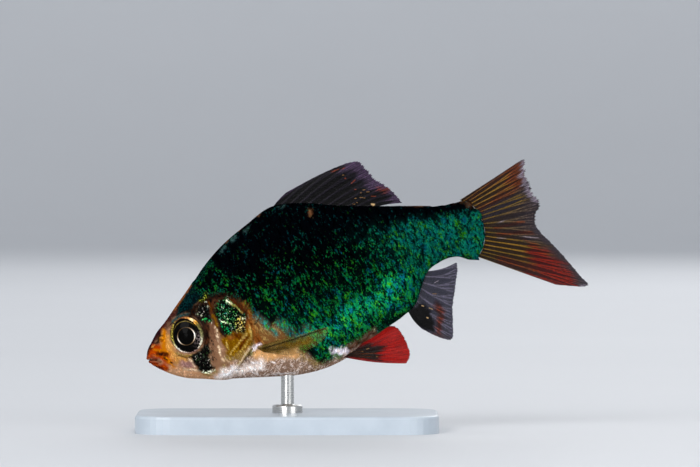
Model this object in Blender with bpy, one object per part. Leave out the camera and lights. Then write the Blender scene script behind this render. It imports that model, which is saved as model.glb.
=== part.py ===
"""A life-size tiger barb of the moss-green form, nose down as it feeds, on a plain display stand.

The fish is worked out in its own side view, in millimetres: u runs from the snout to the end of the
scales, v is the height above that line, and y points to the fish's right. place() pitches it nose down,
sets it over the stand and turns it into metres, with +Z up and the head towards -X.
"""

import math

import bmesh
import bpy
import numpy as np

# Pose and stand
PITCH = math.radians(20.0)  # the head hangs this far below the tail
SNOUT_TO_ROD = 19.5  # the rod stands under the balance point
THROAT_CLEARANCE = 4.5  # from the stand's top to the lowest point of the throat
THROAT = (8.0, -6.5)
GAP = 0.3  # left between neighbouring pieces
BASE_LENGTH, BASE_WIDTH, BASE_THICK = 42.0, 24.0, 2.5
BASE_CORNER, BASE_EDGE = 5.0, 0.4
ROD_RADIUS, ROD_SIDES = 0.9, 24
COLLAR_RADIUS, COLLAR_HEIGHT, COLLAR_EDGE = 2.1, 1.1, 0.3

# Body stations: u, back, belly, half width
BODY = np.array([
    (-0.10, -0.40, -0.40, 0.00),
    (0.30, 0.70, -1.50, 1.05),
    (1.20, 1.60, -2.50, 1.72),
    (2.40, 2.65, -3.60, 2.25),
    (4.20, 3.78, -4.80, 2.80),
    (6.20, 5.22, -5.65, 3.28),
    (8.60, 6.88, -6.68, 3.72),
    (11.50, 9.05, -7.58, 4.18),
    (15.00, 11.02, -8.68, 4.58),
    (19.00, 12.50, -9.82, 4.75),
    (23.50, 13.72, -10.18, 4.58),
    (27.50, 12.75, -9.55, 4.12),
    (31.50, 10.98, -8.10, 3.50),
    (35.50, 9.38, -7.05, 2.85),
    (37.60, 8.62, -6.10, 2.50),
    (39.10, 8.08, -4.30, 2.26),
    (40.50, 7.58, -2.62, 2.05),
    (42.60, 6.84, -1.78, 1.75),
    (45.20, 5.92, -1.80, 1.38),
    (48.00, 5.50, -2.75, 1.00),
    (51.00, 5.35, -3.45, 0.66),
])
WIDEST = 0.48  # height of the widest point, as a share of the depth from belly to back
KEEL, BELLY = 0.24, 0.95  # how much more the back is pinched than an ellipse, and the belly's power
SNOUT_RINGS, SNOUT_END, TRUNK_RINGS, RING_STEPS = 15, 8.0, 36, 14
FAR = 12.0  # past either flank, for the pieces that cut through the body

# Where the body is parted, in side view
GILL = [(8.3, 9.6), (9.3, 7.4), (11.0, 5.9), (12.7, 4.7), (14.0, 3.2), (14.8, 1.6), (15.1, 0.0),
        (15.0, -1.6), (14.5, -3.0), (13.6, -4.3), (12.2, -5.3), (10.6, -6.1), (8.9, -6.9), (8.0, -9.2)]
CHEEK_EDGE = [(10.1, -6.0), (9.4, -5.7), (9.3, -5.0), (9.7, -3.4), (10.1, -0.9), (10.2, 1.4), (10.3, 3.2),
              (10.7, 4.3), (11.5, 4.75)]
COVER_PLATE, COVER_PROUD, COVER_INNER = 0.6, 0.12, 0.8
COVER_SPAN = (-6.1, 4.7)
CORE = (5.0, 20.0)  # the stretch of the head that backs the gill covers
JAW = [(-2.0, -0.62), (-0.1, -0.62), (1.25, -1.12), (2.5, -2.35), (3.35, -4.0), (3.7, -6.5)]
PEDUNCLE_START = 41.0
SCALE_END = [(47.9, 8.0), (48.5, 5.5), (49.7, 4.5), (50.3, 3.0), (50.45, 1.3), (50.1, -0.4),
             (49.2, -1.9), (48.2, -2.8), (47.6, -5.5)]

# Eye, nostril and lips
EYE, EYE_AXIS = (6.2, 0.88), (-0.21, 1.0, 0.1)  # both eyes look a little forward and up
EYE_RADIUS, PUPIL_RADIUS, EYE_DEPTH, EYE_DOME = 2.25, 1.3, 1.45, 0.85
EYE_SUNK = 0.15
NOSTRIL, NOSTRIL_RADIUS, NOSTRIL_DEPTH = (2.35, 1.25), 0.3, 0.55
LIP_RADIUS, LIP_LENGTH, LIP_RISE, LIP_SIDES = 0.34, 1.5, 0.34, 12

# Fins: thickness of the web, the rays standing proud of it on each side, and the rim's share of both
WEB, RAY, RIM = 0.5, 0.13, 0.5
RAY_WIDTH, NOTCH = 0.6, 0.985  # each ridge's foot as a share of the spacing, and the web's reach beside it
RAY_ROWS = np.array([0, 0.12, 0.28, 0.46, 0.64, 0.82, 1.0])  # along each ray
RAY_HEIGHT = np.array([0.7, 1.0, 1.0, 1.0, 0.9, 0.7, 0.25])  # how it falls off towards the rim
PECTORAL_RAYS, PELVIC_RAYS = 13, 9
PECTORAL_SPREAD, PECTORAL_LEAN, PECTORAL_FAN = math.radians(25), math.radians(28), math.radians(28)
PECTORAL_LENGTHS = (11.0, 10.4, 9.3, 7.6, 6.0, 4.5, 3.0)
PECTORAL_FOOT = [(15.3, -3.95), (15.6, -4.5), (15.9, -5.05)]
PECTORAL_SUNK = 0.5  # below the skin, until the gap is cut
PELVIC_FOOT = [(25.8, 1.2, -9.5), (26.2, 1.0, -9.1), (26.9, 0.8, -8.7)]
PELVIC_EDGE = [(33.6, 3.3, -13.2), (34.5, 3.1, -12.5), (34.65, 2.8, -11.1), (34.5, 2.4, -9.4),
               (33.9, 2.1, -8.0), (32.9, 2.0, -7.6)]
DORSAL_TIPS = [(25.9, 14.75), (30.6, 15.45), (34.8, 15.75), (37.1, 15.4), (37.6, 14.3), (38.0, 13.3),
               (38.4, 12.3), (39.1, 11.4), (39.7, 10.6), (40.1, 9.8), (40.5, 9.0), (40.75, 8.25)]
ANAL_TIPS = [(37.2, -9.6), (38.9, -11.4), (40.6, -12.4), (41.4, -10.9), (42.0, -9.2), (42.7, -7.4),
             (43.7, -5.6), (44.6, -3.9), (45.0, -2.5)]
TAIL_TIPS = [(55.0, 7.05), (58.6, 7.85), (58.55, 7.0), (58.5, 6.1), (58.35, 5.1), (58.45, 4.3), (58.4, 3.2),
             (58.65, 2.2), (58.75, 1.1), (57.4, -0.5), (57.3, -2.1), (57.9, -3.6), (58.5, -4.9), (59.0, -6.0),
             (59.5, -7.3), (59.95, -8.6), (60.5, -10.1), (60.95, -11.9), (57.0, -10.3)]

# Colours
SKIN_GREEN, CHEEK, BRASS = (0.01, 0.12, 0.09), (0.34, 0.24, 0.16), (0.30, 0.25, 0.08)
FIN_BLACK, FIN_RED, FIN_CLEAR = (0.02, 0.01, 0.02), (0.35, 0.02, 0.01), (0.22, 0.12, 0.05)
EYE_BLACK, STAND_GREY, STEEL = (0.02, 0.018, 0.012), (0.55, 0.62, 0.68), (0.6, 0.6, 0.58)


def place(points):
    """Points (u, y, v) in millimetres, pitched and set over the stand, in metres."""
    p = np.atleast_2d(np.asarray(points, float))
    u, y, v = p[:, 0], p[:, 1], p[:, 2]
    throat = THROAT[0] * math.sin(PITCH) + THROAT[1] * math.cos(PITCH)
    x = u * math.cos(PITCH) - v * math.sin(PITCH) - SNOUT_TO_ROD
    z = u * math.sin(PITCH) + v * math.cos(PITCH) - throat + THROAT_CLEARANCE + BASE_THICK
    return np.column_stack((x, y, z)) * 0.001


def through(knots, values, at):
    """Smooth curve through values at knots: cubic pieces that take each knot's slope from its neighbours."""
    slopes = np.gradient(values, knots)
    i = np.clip(np.searchsorted(knots, at) - 1, 0, len(knots) - 2)
    step = knots[i + 1] - knots[i]
    t = (at - knots[i]) / step
    start = (2 * t**3 - 3 * t**2 + 1) * values[i] + (t**3 - 2 * t**2 + t) * step * slopes[i]
    return start + (3 * t**2 - 2 * t**3) * values[i + 1] + (t**3 - t**2) * step * slopes[i + 1]


def body_at(u):
    """Back, belly and half width at u. The curves run on the root of the distance, which rounds the snout."""
    knots = np.sqrt(BODY[:, 0] - BODY[0, 0])
    at = np.sqrt(np.clip(u - BODY[0, 0], 0, None))
    return [through(knots, BODY[:, column], at) for column in (1, 2, 3)]


def section(u, angle):
    """(y, v) on the body's skin at u, at an angle from the belly (-90 degrees) over the widest point (0)
    to the back (90). The cosine's power pinches the back into a keel and rounds the belly."""
    back, belly, width = body_at(u)
    middle = belly + WIDEST * (back - belly)
    rise = np.sin(angle)
    height = np.where(rise > 0, back - middle, middle - belly)
    keel = 1 + KEEL * np.clip((u - 3) / 9, 0, 1)
    power = np.where(rise > 0, keel, BELLY)
    return width * np.abs(np.cos(angle)) ** power, middle + height * rise


def skin(u, v, side):
    """Point (u, y, v) of the skin seen at (u, v) in side view, on the left (-1) or the right (1)."""
    back, belly, _ = body_at(u)
    middle = belly + WIDEST * (back - belly)
    share = (v - middle) / (back - middle if v > middle else middle - belly)
    y, _ = section(u, math.asin(float(np.clip(share, -1, 1))))
    return np.array((u, side * float(y), v))


def skin_normal(u, v, side):
    """Outward direction of the skin there, from points a little to either side."""
    step = 0.2
    du = skin(u + step, v, side) - skin(u - step, v, side)
    dv = skin(u, v + step, side) - skin(u, v - step, side)
    n = np.cross(du, dv)
    n *= side * np.sign(n[1]) / np.linalg.norm(n)
    return n


def made(name, points, faces):
    """A triangulated mesh object from points in the fish's millimetres, facing out."""
    mesh = bpy.data.meshes.new(name)
    mesh.from_pydata(place(points).tolist(), [], [list(map(int, f)) for f in faces])
    work = bmesh.new()
    work.from_mesh(mesh)
    bmesh.ops.triangulate(work, faces=[f for f in work.faces if len(f.verts) > 3])
    if work.calc_volume(signed=True) < 0:
        bmesh.ops.reverse_faces(work, faces=work.faces)
    work.to_mesh(mesh)
    work.free()
    obj = bpy.data.objects.new(name, mesh)
    bpy.context.scene.collection.objects.link(obj)
    return obj


def body_loft(name, grow=0.0, low=-1.0, high=60.0):
    """The body from u = low to high as rings, moved out by grow along the skin's own normals."""
    roots = np.linspace(0, math.sqrt(SNOUT_END - BODY[0, 0]), SNOUT_RINGS + 1)[1:]
    u = np.concatenate((BODY[0, 0] + roots**2, np.linspace(SNOUT_END, BODY[-1, 0], TRUNK_RINGS + 1)[1:]))
    u = u[(u > low) & (u < high)]
    half = np.linspace(-math.pi / 2, math.pi / 2, RING_STEPS + 1)
    angle = np.concatenate((half, half[-2:0:-1]))
    side = np.concatenate((np.ones(RING_STEPS + 1), -np.ones(RING_STEPS - 1)))
    y, v = section(u[:, None], angle[None, :])
    rings = np.stack((np.broadcast_to(u[:, None], y.shape), y * side, v), axis=2)
    around = np.roll(rings, -1, axis=1) - np.roll(rings, 1, axis=1)
    normal = np.cross(around, np.gradient(rings, axis=0))
    normal /= np.linalg.norm(normal, axis=2, keepdims=True)
    outward = np.sign((normal * (rings - rings.mean(axis=1, keepdims=True))).sum())
    rings = rings + grow * outward * normal
    count = len(angle)
    points = rings.reshape(-1, 3)
    front = (BODY[0, 0] - grow, 0, BODY[0, 1]) if low < 0 else (u[0], 0, rings[0, :, 2].mean())
    points = np.vstack((points, front, (u[-1] + max(grow, 0), 0, rings[-1, :, 2].mean())))
    faces = []
    for j in range(count):
        k = (j + 1) % count
        faces.append((len(points) - 2, k, j))
        faces.append((len(points) - 1, j + count * (len(u) - 1), k + count * (len(u) - 1)))
        faces += [(i * count + j, i * count + k, i * count + count + k, i * count + count + j)
                  for i in range(len(u) - 1)]
    return made(name, points, faces)


def rounded(curve, pieces=2):
    """The curve's points with more between them on a smooth line through all."""
    c = np.array(curve, float)
    knots = np.concatenate(([0], np.cumsum(np.linalg.norm(np.diff(c, axis=0), axis=1))))
    at = np.interp(np.arange(0, len(c) - 1 + 1e-6, 1 / pieces), np.arange(len(c)), knots)
    return np.column_stack([through(knots, c[:, k], at) for k in (0, 1)])


def shifted(curve, distance, closed=False):
    """The curve moved sideways, to the left of its run for a positive distance."""
    run = np.roll(curve, -1, axis=0) - np.roll(curve, 1, axis=0) if closed else np.gradient(curve, axis=0)
    run /= np.linalg.norm(run, axis=1, keepdims=True)
    return curve + distance * np.column_stack((-run[:, 1], run[:, 0]))


def prism(outline, low, high):
    """A solid of this side-view outline, from y = low to y = high."""
    n = len(outline)
    points = [(p[0], y, p[1]) for y in (low, high) for p in outline]
    sides = [(i, (i + 1) % n, n + (i + 1) % n, n + i) for i in range(n)]
    return made("cutter", points, [tuple(range(n))[::-1], tuple(range(n, 2 * n)), *sides])


def lathe(profile, centre, axis, sides, name="cutter", grow=0.0):
    """A turned solid: profile holds (radius, height) pairs from one pole to the other."""
    axis = np.array(axis, float) / np.linalg.norm(axis)
    across = np.cross(axis, (1.0, 0.0, 0.0) if abs(axis[0]) < 0.9 else (0.0, 1.0, 0.0))
    across /= np.linalg.norm(across)
    other = np.cross(axis, across)
    turn = np.arange(sides) * 2 * math.pi / sides
    points = []
    for radius, height in profile[1:-1]:
        ring = (radius + grow) * (np.cos(turn)[:, None] * across + np.sin(turn)[:, None] * other)
        points += list(np.array(centre) + ring + height * axis)
    poles = [np.array(centre) + (profile[k][1] + sign * grow) * axis for k, sign in ((0, -1), (-1, 1))]
    rings = len(profile) - 2
    faces = []
    for j in range(sides):
        k = (j + 1) % sides
        faces.append((rings * sides, k, j))
        faces.append((rings * sides + 1, (rings - 1) * sides + j, (rings - 1) * sides + k))
        faces += [(i * sides + j, i * sides + k, (i + 1) * sides + k, (i + 1) * sides + j)
                  for i in range(rings - 1)]
    return made(name, points + poles, faces)


def keep_largest(obj):
    """Drops every closed surface but the largest."""
    work = bmesh.new()
    work.from_mesh(obj.data)
    loose, shells = set(work.faces), []
    while loose:
        shell, edge = set(), [loose.pop()]
        while edge:
            face = edge.pop()
            shell.add(face)
            near = {f for e in face.edges for f in e.link_faces} & loose
            loose -= near
            edge += near
        shells.append(shell)
    shells.sort(key=lambda s: sum(f.calc_area() for f in s))
    bmesh.ops.delete(work, geom=[f for s in shells[:-1] for f in s], context="FACES")
    work.to_mesh(obj.data)
    work.free()


def boolean(obj, operation, tool, keep_tool=False):
    """obj after a Boolean with tool, applied."""
    modifier = obj.modifiers.new("join", "BOOLEAN")
    modifier.operation, modifier.solver, modifier.object = operation, "EXACT", tool
    bpy.context.view_layer.update()
    graph = bpy.context.evaluated_depsgraph_get()
    mesh = bpy.data.meshes.new_from_object(obj.evaluated_get(graph))
    obj.modifiers.clear()
    obj.data = mesh
    if not keep_tool:
        bpy.data.objects.remove(tool)
    return obj


def painted(obj, colour, roughness, metallic=0.0):
    """Gives obj its own Principled material and shades it smooth over its gentle edges."""
    material = bpy.data.materials.new(obj.name)
    material.use_nodes = True
    shader = material.node_tree.nodes["Principled BSDF"]
    shader.inputs["Base Color"].default_value = (*colour, 1)
    shader.inputs["Roughness"].default_value = roughness
    shader.inputs["Metallic"].default_value = metallic
    obj.data.materials.clear()
    obj.data.materials.append(material)
    obj.data.shade_smooth()
    obj.data.set_sharp_from_angle(angle=math.radians(40))


def side_name(side):
    return "left" if side < 0 else "right"


def eye_pose(side):
    """Centre and outward axis of the eye."""
    axis = np.array((EYE_AXIS[0], side * EYE_AXIS[1], EYE_AXIS[2]))
    return skin(*EYE, side) - EYE_SUNK * axis, axis


def eyes():
    """Each eye is a flattened ball whose clear front stands out in a low dome, fuller over the pupil."""
    turn = np.radians((-90, -60, -36, -14, 6, 22, 38, 54, 68, 80, 90))
    radius = EYE_RADIUS * np.cos(turn)
    height = np.where(turn < 0, EYE_DEPTH, EYE_DOME) * np.sin(turn)
    height += 0.12 * np.clip(1 - radius / PUPIL_RADIUS, 0, 1) * (turn > 0)
    profile = list(zip(radius, height))
    for side in (-1, 1):
        eye = lathe(profile, *eye_pose(side), 28, "eye_" + side_name(side))
        painted(eye, EYE_BLACK, 0.15)


def eye_socket(side):
    """A cup that follows the back of the eye at the gap's distance, open to the outside."""
    turn = np.radians((-90, -62, -38, -16))
    cup = list(zip(EYE_RADIUS * np.cos(turn), (EYE_DEPTH + GAP) * np.sin(turn)))
    return lathe([*cup, (EYE_RADIUS, 0), (EYE_RADIUS, 3), (0, 3)], *eye_pose(side), 28, grow=GAP)


def lip(below):
    """A tapering roll of flesh round the front of the mouth, just above or below its line."""
    line_u, line_v = zip(*JAW[1:3])
    centre, radius = [], []
    for share in np.sin(np.linspace(-math.pi / 2, math.pi / 2, 15)):
        taper = 1 - 0.7 * abs(share) ** 3
        u = 0.08 + LIP_LENGTH * abs(share) ** 1.7
        v = np.interp(u, line_u, line_v) + LIP_RISE * taper * (-1 if below else 1)
        sunk = skin(u, v, 1)[1] - 0.45 * LIP_RADIUS * abs(share)
        centre.append((u, np.sign(share) * sunk, v))
        radius.append(LIP_RADIUS * taper)
    centre, radius = np.array(centre), np.array(radius)[:, None, None]
    run = np.gradient(centre, axis=0)
    run /= np.linalg.norm(run, axis=1, keepdims=True)
    up = np.cross(run, np.cross((0, 0, 1.0), run))
    up /= np.linalg.norm(up, axis=1, keepdims=True)
    turn = np.arange(LIP_SIDES)[None, :, None] * 2 * math.pi / LIP_SIDES
    round_it = np.cos(turn) * up[:, None] + np.sin(turn) * np.cross(run, up)[:, None]
    points = (centre[:, None] + radius * round_it).reshape(-1, 3)
    last = len(points) - LIP_SIDES
    faces = [tuple(range(LIP_SIDES))[::-1], tuple(range(last, len(points)))]
    for ring in range(0, last, LIP_SIDES):
        for j in range(LIP_SIDES):
            k = (j + 1) % LIP_SIDES
            faces.append((ring + j, ring + k, ring + LIP_SIDES + k, ring + LIP_SIDES + j))
    return made("lip", points, faces)


def head_region():
    """Side-view outline of everything ahead of the gill opening."""
    edge = shifted(rounded(GILL), -GAP / 2)
    ahead = JAW[0][0]
    return [*edge, (ahead, edge[-1][1]), (ahead, edge[0][1])]


def cover_region(grow):
    """Side-view outline of the gill cover: the cheek's edge in front and the gill opening behind."""
    behind = [p for p in shifted(rounded(GILL), -GAP / 2) if COVER_SPAN[0] < p[1] < COVER_SPAN[1]]
    return shifted(np.vstack((rounded(CHEEK_EDGE), behind)), grow, closed=True)


def jaw_region(shift):
    """Side-view outline of the lower jaw, below the line of the mouth and ahead of its corner."""
    edge = shifted(np.array(JAW, float), shift)
    return [*edge, (edge[0][0], edge[-1][1])]


def torso_region():
    """Side-view outline from the gill opening to the peduncle."""
    edge = shifted(rounded(GILL), GAP / 2)
    end = PEDUNCLE_START - GAP / 2
    return [*edge, (end, edge[-1][1] - FAR), (end, edge[0][1] + FAR), (edge[0][0], edge[0][1] + FAR)]


def tail_region():
    """Side-view outline from the peduncle's start to the rounded end of the scales."""
    edge = rounded(SCALE_END)
    start = PEDUNCLE_START + GAP / 2
    return [*edge, (start, edge[-1][1]), (start, edge[0][1])]


def half_prism(outline, inner, side):
    """A prism over one flank, from y = inner outwards."""
    low, high = sorted((side * inner, side * FAR))
    return prism(outline, low, high)


def nostril_pit(side):
    """A small cup that opens outwards."""
    out = NOSTRIL_DEPTH
    wide = NOSTRIL_RADIUS
    cup = [(0, -out), (0.7 * wide, -0.8 * out), (wide, 0), (wide, out), (0, out)]
    return lathe(cup, skin(*NOSTRIL, side), skin_normal(*NOSTRIL, side), 10)


def head():
    """The head ahead of the gills, with its lips, mouth line, eye sockets, nostrils and gill recesses."""
    skull, jaw = body_loft("head"), body_loft("lower_jaw")
    boolean(skull, "UNION", lip(False))
    boolean(jaw, "UNION", lip(True))
    boolean(skull, "INTERSECT", prism(head_region(), -FAR, FAR))
    boolean(skull, "DIFFERENCE", prism(jaw_region(GAP / 2), -FAR, FAR))
    boolean(jaw, "INTERSECT", prism(jaw_region(-GAP / 2), -FAR, FAR))
    for side in (-1, 1):
        recess = half_prism(cover_region(GAP), COVER_INNER - GAP, side)
        boolean(recess, "DIFFERENCE", body_loft("core", -COVER_PLATE - GAP, *CORE))
        for cutter in (recess, eye_socket(side), nostril_pit(side)):
            boolean(skull, "DIFFERENCE", cutter)
    for piece in (skull, jaw):
        keep_largest(piece)
        painted(piece, CHEEK, 0.4)


def gill_covers():
    """The bony plate over the gills on each side, a little proud of the head round it."""
    for side in (-1, 1):
        cover = body_loft("gill_cover_" + side_name(side), COVER_PROUD)
        boolean(cover, "INTERSECT", half_prism(cover_region(0), COVER_INNER, side))
        boolean(cover, "DIFFERENCE", body_loft("core", -COVER_PLATE, *CORE))
        keep_largest(cover)
        painted(cover, BRASS, 0.3, 0.3)


def trunk():
    """The torso from the gills to the peduncle, and the tail base from there to the end of the scales."""
    for name, region in (("torso", torso_region()), ("tail_base", tail_region())):
        piece = body_loft(name)
        boolean(piece, "INTERSECT", prism(region, -FAR, FAR))
        keep_largest(piece)
        painted(piece, SKIN_GREEN, 0.35, 0.2)


def plate(name, centre, half):
    """A thin closed plate: a grid of centre points (columns, rows, 3), thickened by half on both faces,
    with both faces split into the same triangles."""
    normal = np.cross(np.gradient(centre, axis=0), np.gradient(centre, axis=1))
    normal /= np.linalg.norm(normal, axis=2, keepdims=True)
    columns, rows = half.shape
    faces_a, faces_b = centre + normal * half[..., None], centre - normal * half[..., None]
    k = np.arange(columns * rows).reshape(columns, rows)
    a, b, c, d = (x.ravel() for x in (k[:-1, :-1], k[1:, :-1], k[1:, 1:], k[:-1, 1:]))
    front = np.vstack((np.column_stack((a, b, c)), np.column_stack((a, c, d))))
    rim = np.concatenate((k[:-1, 0], k[-1, :-1], k[:0:-1, -1], k[0, :0:-1]))
    after = np.roll(rim, -1)
    other = columns * rows
    edge = np.vstack((np.column_stack((after, rim, rim + other)),
                      np.column_stack((after, rim + other, after + other))))
    points = np.concatenate((faces_a.reshape(-1, 3), faces_b.reshape(-1, 3)))
    return made(name, points, np.vstack((front, front[:, ::-1] + other, edge)))


def between(points, at):
    """Points read along a list at even shares from 0 (its first point) to 1 (its last)."""
    p = np.array(points, float)
    return np.column_stack([np.interp(at, np.linspace(0, 1, len(p)), p[:, k]) for k in range(3)])


def fin(name, root, margin, bow, colour):
    """A web on which one ridge stands along each ray. margin holds the tip of every ray, in order; root
    is the line that they grow from. The rays bow sideways by a share of their length."""
    rays = len(margin)
    foot = RAY_WIDTH / 2
    at = [k + offset for k in range(rays) for offset in (-foot, 0, foot) if 0 <= k + offset <= rays - 1]
    peak = np.isclose(at, np.round(at))
    at = np.array(at) / (rays - 1)
    start, end = between(root, at), between(margin, at)
    notch = np.where(peak, 1, NOTCH)[:, None, None]
    ray = (end - start)[:, None] * RAY_ROWS[None, :, None] * notch
    sideways = np.column_stack((start[:, 2] - end[:, 2], np.zeros(len(at)), end[:, 0] - start[:, 0]))
    centre = start[:, None] + ray + sideways[:, None] * bow * np.sin(math.pi * RAY_ROWS)[None, :, None]
    half = WEB / 2 * np.interp(RAY_ROWS, (0, 0.82, 1), (1, 1, RIM)) + RAY * RAY_HEIGHT * peak[:, None]
    piece = plate(name, centre, half)
    painted(piece, colour, 0.4)
    return piece


def beside(edge, low, high, side):
    """Root of a median fin, just clear of the back (side 1) or belly (side -1) from low to high."""
    u = np.linspace(low, high, 9)
    v = body_at(u)[0 if edge == "back" else 1]
    line = shifted(np.column_stack((u, v)), side * (GAP + 0.03))
    return [(p[0], 0, p[1]) for p in line]


def in_midplane(line):
    return [(u, 0, v) for u, v in line]


def median_fins():
    """The dorsal fin, laid back with its short first rays along its front edge, the anal fin, and the
    forked tail fin, its upper lobe worn short and its lower lobe whole."""
    fin("dorsal_fin", beside("back", 23.4, 36.8, 1), in_midplane(DORSAL_TIPS), 0.03, FIN_BLACK)
    fin("anal_fin", beside("belly", 36.2, 40.6, -1), in_midplane(ANAL_TIPS), -0.06, FIN_BLACK)
    root = shifted(rounded(SCALE_END[1:-1]), GAP + 0.05)
    fin("tail_fin", in_midplane(root), in_midplane(TAIL_TIPS), 0, FIN_CLEAR)


def pectoral_fan(side):
    """Roots and tips of the pectoral rays: they fan out in one plane below the long first ray, which is
    held out from the flank, and the blade leans in towards the belly."""
    share = np.linspace(0, 1, PECTORAL_RAYS)
    lead = np.array((math.cos(PECTORAL_SPREAD), side * math.sin(PECTORAL_SPREAD), -0.05))
    lean = np.array((0, -side * math.sin(PECTORAL_LEAN), -math.cos(PECTORAL_LEAN)))
    down = lean - (lean @ lead) * lead
    turn = PECTORAL_FAN * share[:, None]
    way = np.cos(turn) * lead + np.sin(turn) * down / np.linalg.norm(down)
    length = np.interp(share, np.linspace(0, 1, len(PECTORAL_LENGTHS)), PECTORAL_LENGTHS)
    root = between([skin(u, v, side) for u, v in PECTORAL_FOOT], share)
    return root - PECTORAL_SUNK * way, root + length[:, None] * way


def paired_fins():
    """The pectoral fins, held out from the flank, and the pelvic fins behind the belly, on both sides."""
    clear = body_loft("clear", GAP)
    for side in (-1, 1):
        foot, tips = pectoral_fan(side)
        pectoral = fin("pectoral_fin_" + side_name(side), foot, tips, 0, FIN_CLEAR)
        foot, edge = (np.array(line) * (1, side, 1) for line in (PELVIC_FOOT, PELVIC_EDGE))
        tips = between(edge, np.linspace(0, 1, PELVIC_RAYS))
        pelvic = fin("pelvic_fin_" + side_name(side), foot, tips, -0.03, FIN_RED)
        for piece in (pectoral, pelvic):
            boolean(piece, "DIFFERENCE", clear, keep_tool=True)
            keep_largest(piece)
    bpy.data.objects.remove(clear)


def finished(name, work):
    """A mesh object of this name from a bmesh in metres."""
    mesh = bpy.data.meshes.new(name)
    work.to_mesh(mesh)
    work.free()
    obj = bpy.data.objects.new(name, mesh)
    bpy.context.scene.collection.objects.link(obj)
    return obj


def bevelled(work, edges, width, segments):
    bmesh.ops.bevel(work, geom=edges, offset=width * 0.001, segments=segments, profile=0.5, affect="EDGES")


def cylinder(name, radius, low, high, edge=0.0):
    """An upright cylinder on the rod's axis, in millimetres, its top edge bevelled."""
    work = bmesh.new()
    bmesh.ops.create_cone(work, cap_ends=True, segments=ROD_SIDES, radius1=radius * 0.001,
                          radius2=radius * 0.001, depth=(high - low) * 0.001)
    bmesh.ops.translate(work, vec=(0, 0, (low + high) / 2 * 0.001), verts=work.verts)
    if edge:
        top = [e for e in work.edges if min(v.co.z for v in e.verts) > (high - 0.01) * 0.001]
        bevelled(work, top, edge, 2)
    return finished(name, work)


def stand():
    """A flat base with rounded corners, and one short rod in a collar that ends just under the belly."""
    work = bmesh.new()
    bmesh.ops.create_cube(work, size=0.001)
    bmesh.ops.scale(work, vec=(BASE_LENGTH, BASE_WIDTH, BASE_THICK), verts=work.verts)
    bmesh.ops.translate(work, vec=(0, 0, BASE_THICK / 2 * 0.001), verts=work.verts)
    upright = [e for e in work.edges if abs(e.verts[0].co.z - e.verts[1].co.z) > 0.0005]
    bevelled(work, upright, BASE_CORNER, 8)
    top = [e for e in work.edges if min(v.co.z for v in e.verts) > 0.9 * BASE_THICK * 0.001]
    bevelled(work, top, BASE_EDGE, 2)
    painted(finished("stand_base", work), STAND_GREY, 0.25)

    low = BASE_THICK + GAP
    rod = cylinder("stand_rod", ROD_RADIUS, low, low + 2 * THROAT_CLEARANCE)
    boolean(rod, "UNION", cylinder("collar", COLLAR_RADIUS, low, low + COLLAR_HEIGHT, COLLAR_EDGE))
    boolean(rod, "DIFFERENCE", body_loft("clear", GAP))
    keep_largest(rod)
    painted(rod, STEEL, 0.3, 1.0)


for old in list(bpy.data.objects):
    bpy.data.objects.remove(old)
head()
gill_covers()
eyes()
trunk()
median_fins()
paired_fins()
stand()
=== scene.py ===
"""The looks of a life-size tiger barb of the moss-green form, nose down on its plain display stand."""

import math

import bpy
import numpy as np
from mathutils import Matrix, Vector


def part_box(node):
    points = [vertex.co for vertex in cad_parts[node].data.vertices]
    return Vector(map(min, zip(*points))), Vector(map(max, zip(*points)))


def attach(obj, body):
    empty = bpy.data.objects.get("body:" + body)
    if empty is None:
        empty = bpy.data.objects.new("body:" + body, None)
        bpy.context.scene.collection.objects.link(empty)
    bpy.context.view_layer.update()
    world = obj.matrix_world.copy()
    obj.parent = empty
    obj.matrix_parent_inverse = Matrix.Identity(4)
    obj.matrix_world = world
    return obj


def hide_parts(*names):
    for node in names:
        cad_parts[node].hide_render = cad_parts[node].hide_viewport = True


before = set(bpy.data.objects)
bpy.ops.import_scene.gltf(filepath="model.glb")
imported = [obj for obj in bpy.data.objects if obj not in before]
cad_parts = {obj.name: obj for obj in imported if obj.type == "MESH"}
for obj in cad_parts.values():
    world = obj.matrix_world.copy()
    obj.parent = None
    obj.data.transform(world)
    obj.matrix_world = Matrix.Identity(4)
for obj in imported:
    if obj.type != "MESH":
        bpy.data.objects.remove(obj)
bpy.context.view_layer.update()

# The skin. On the fish it is one moist sheet from the lips to the end of the scales, drawn tight over the
# bones of the head, where the lips, nostrils, eye rims and gill covers stand in it, and just under the
# scales behind them. The model has it as one cast and painted surface. The fish is measured in millimetres
# in its own side view: u runs from the snout to the tail, v is the height above that line, and y points to
# the fish's right.

PITCH = math.radians(20)  # nose down
SNOUT_TO_ROD, THROAT, THROAT_CLEARANCE = 19.5, (8, -6.5), 4.5
BASE_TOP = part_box("stand_base")[1].z * 1000
BODY = np.array([  # u, back, belly, half width
    (-0.1, -0.4, -0.4, 0),
    (0.3, 0.7, -1.5, 1.05),
    (1.2, 1.6, -2.5, 1.72),
    (2.4, 2.65, -3.6, 2.25),
    (4.2, 3.78, -4.8, 2.8),
    (6.2, 5.22, -5.65, 3.28),
    (8.6, 6.88, -6.68, 3.72),
    (11.5, 9.05, -7.58, 4.18),
    (15, 11.02, -8.68, 4.58),
    (19, 12.5, -9.82, 4.75),
    (23.5, 13.72, -10.18, 4.58),
    (27.5, 12.75, -9.55, 4.12),
    (31.5, 10.98, -8.1, 3.5),
    (35.5, 9.38, -7.05, 2.85),
    (37.6, 8.62, -6.1, 2.5),
    (39.1, 8.08, -4.3, 2.26),
    (40.5, 7.58, -2.62, 2.05),
    (42.6, 6.84, -1.78, 1.75),
    (45.2, 5.92, -1.8, 1.38),
    (48, 5.5, -2.75, 1),
    (51, 5.35, -3.45, 0.66),
])
WIDEST, KEEL, BELLY_POWER = 0.48, 0.24, 0.95
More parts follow.
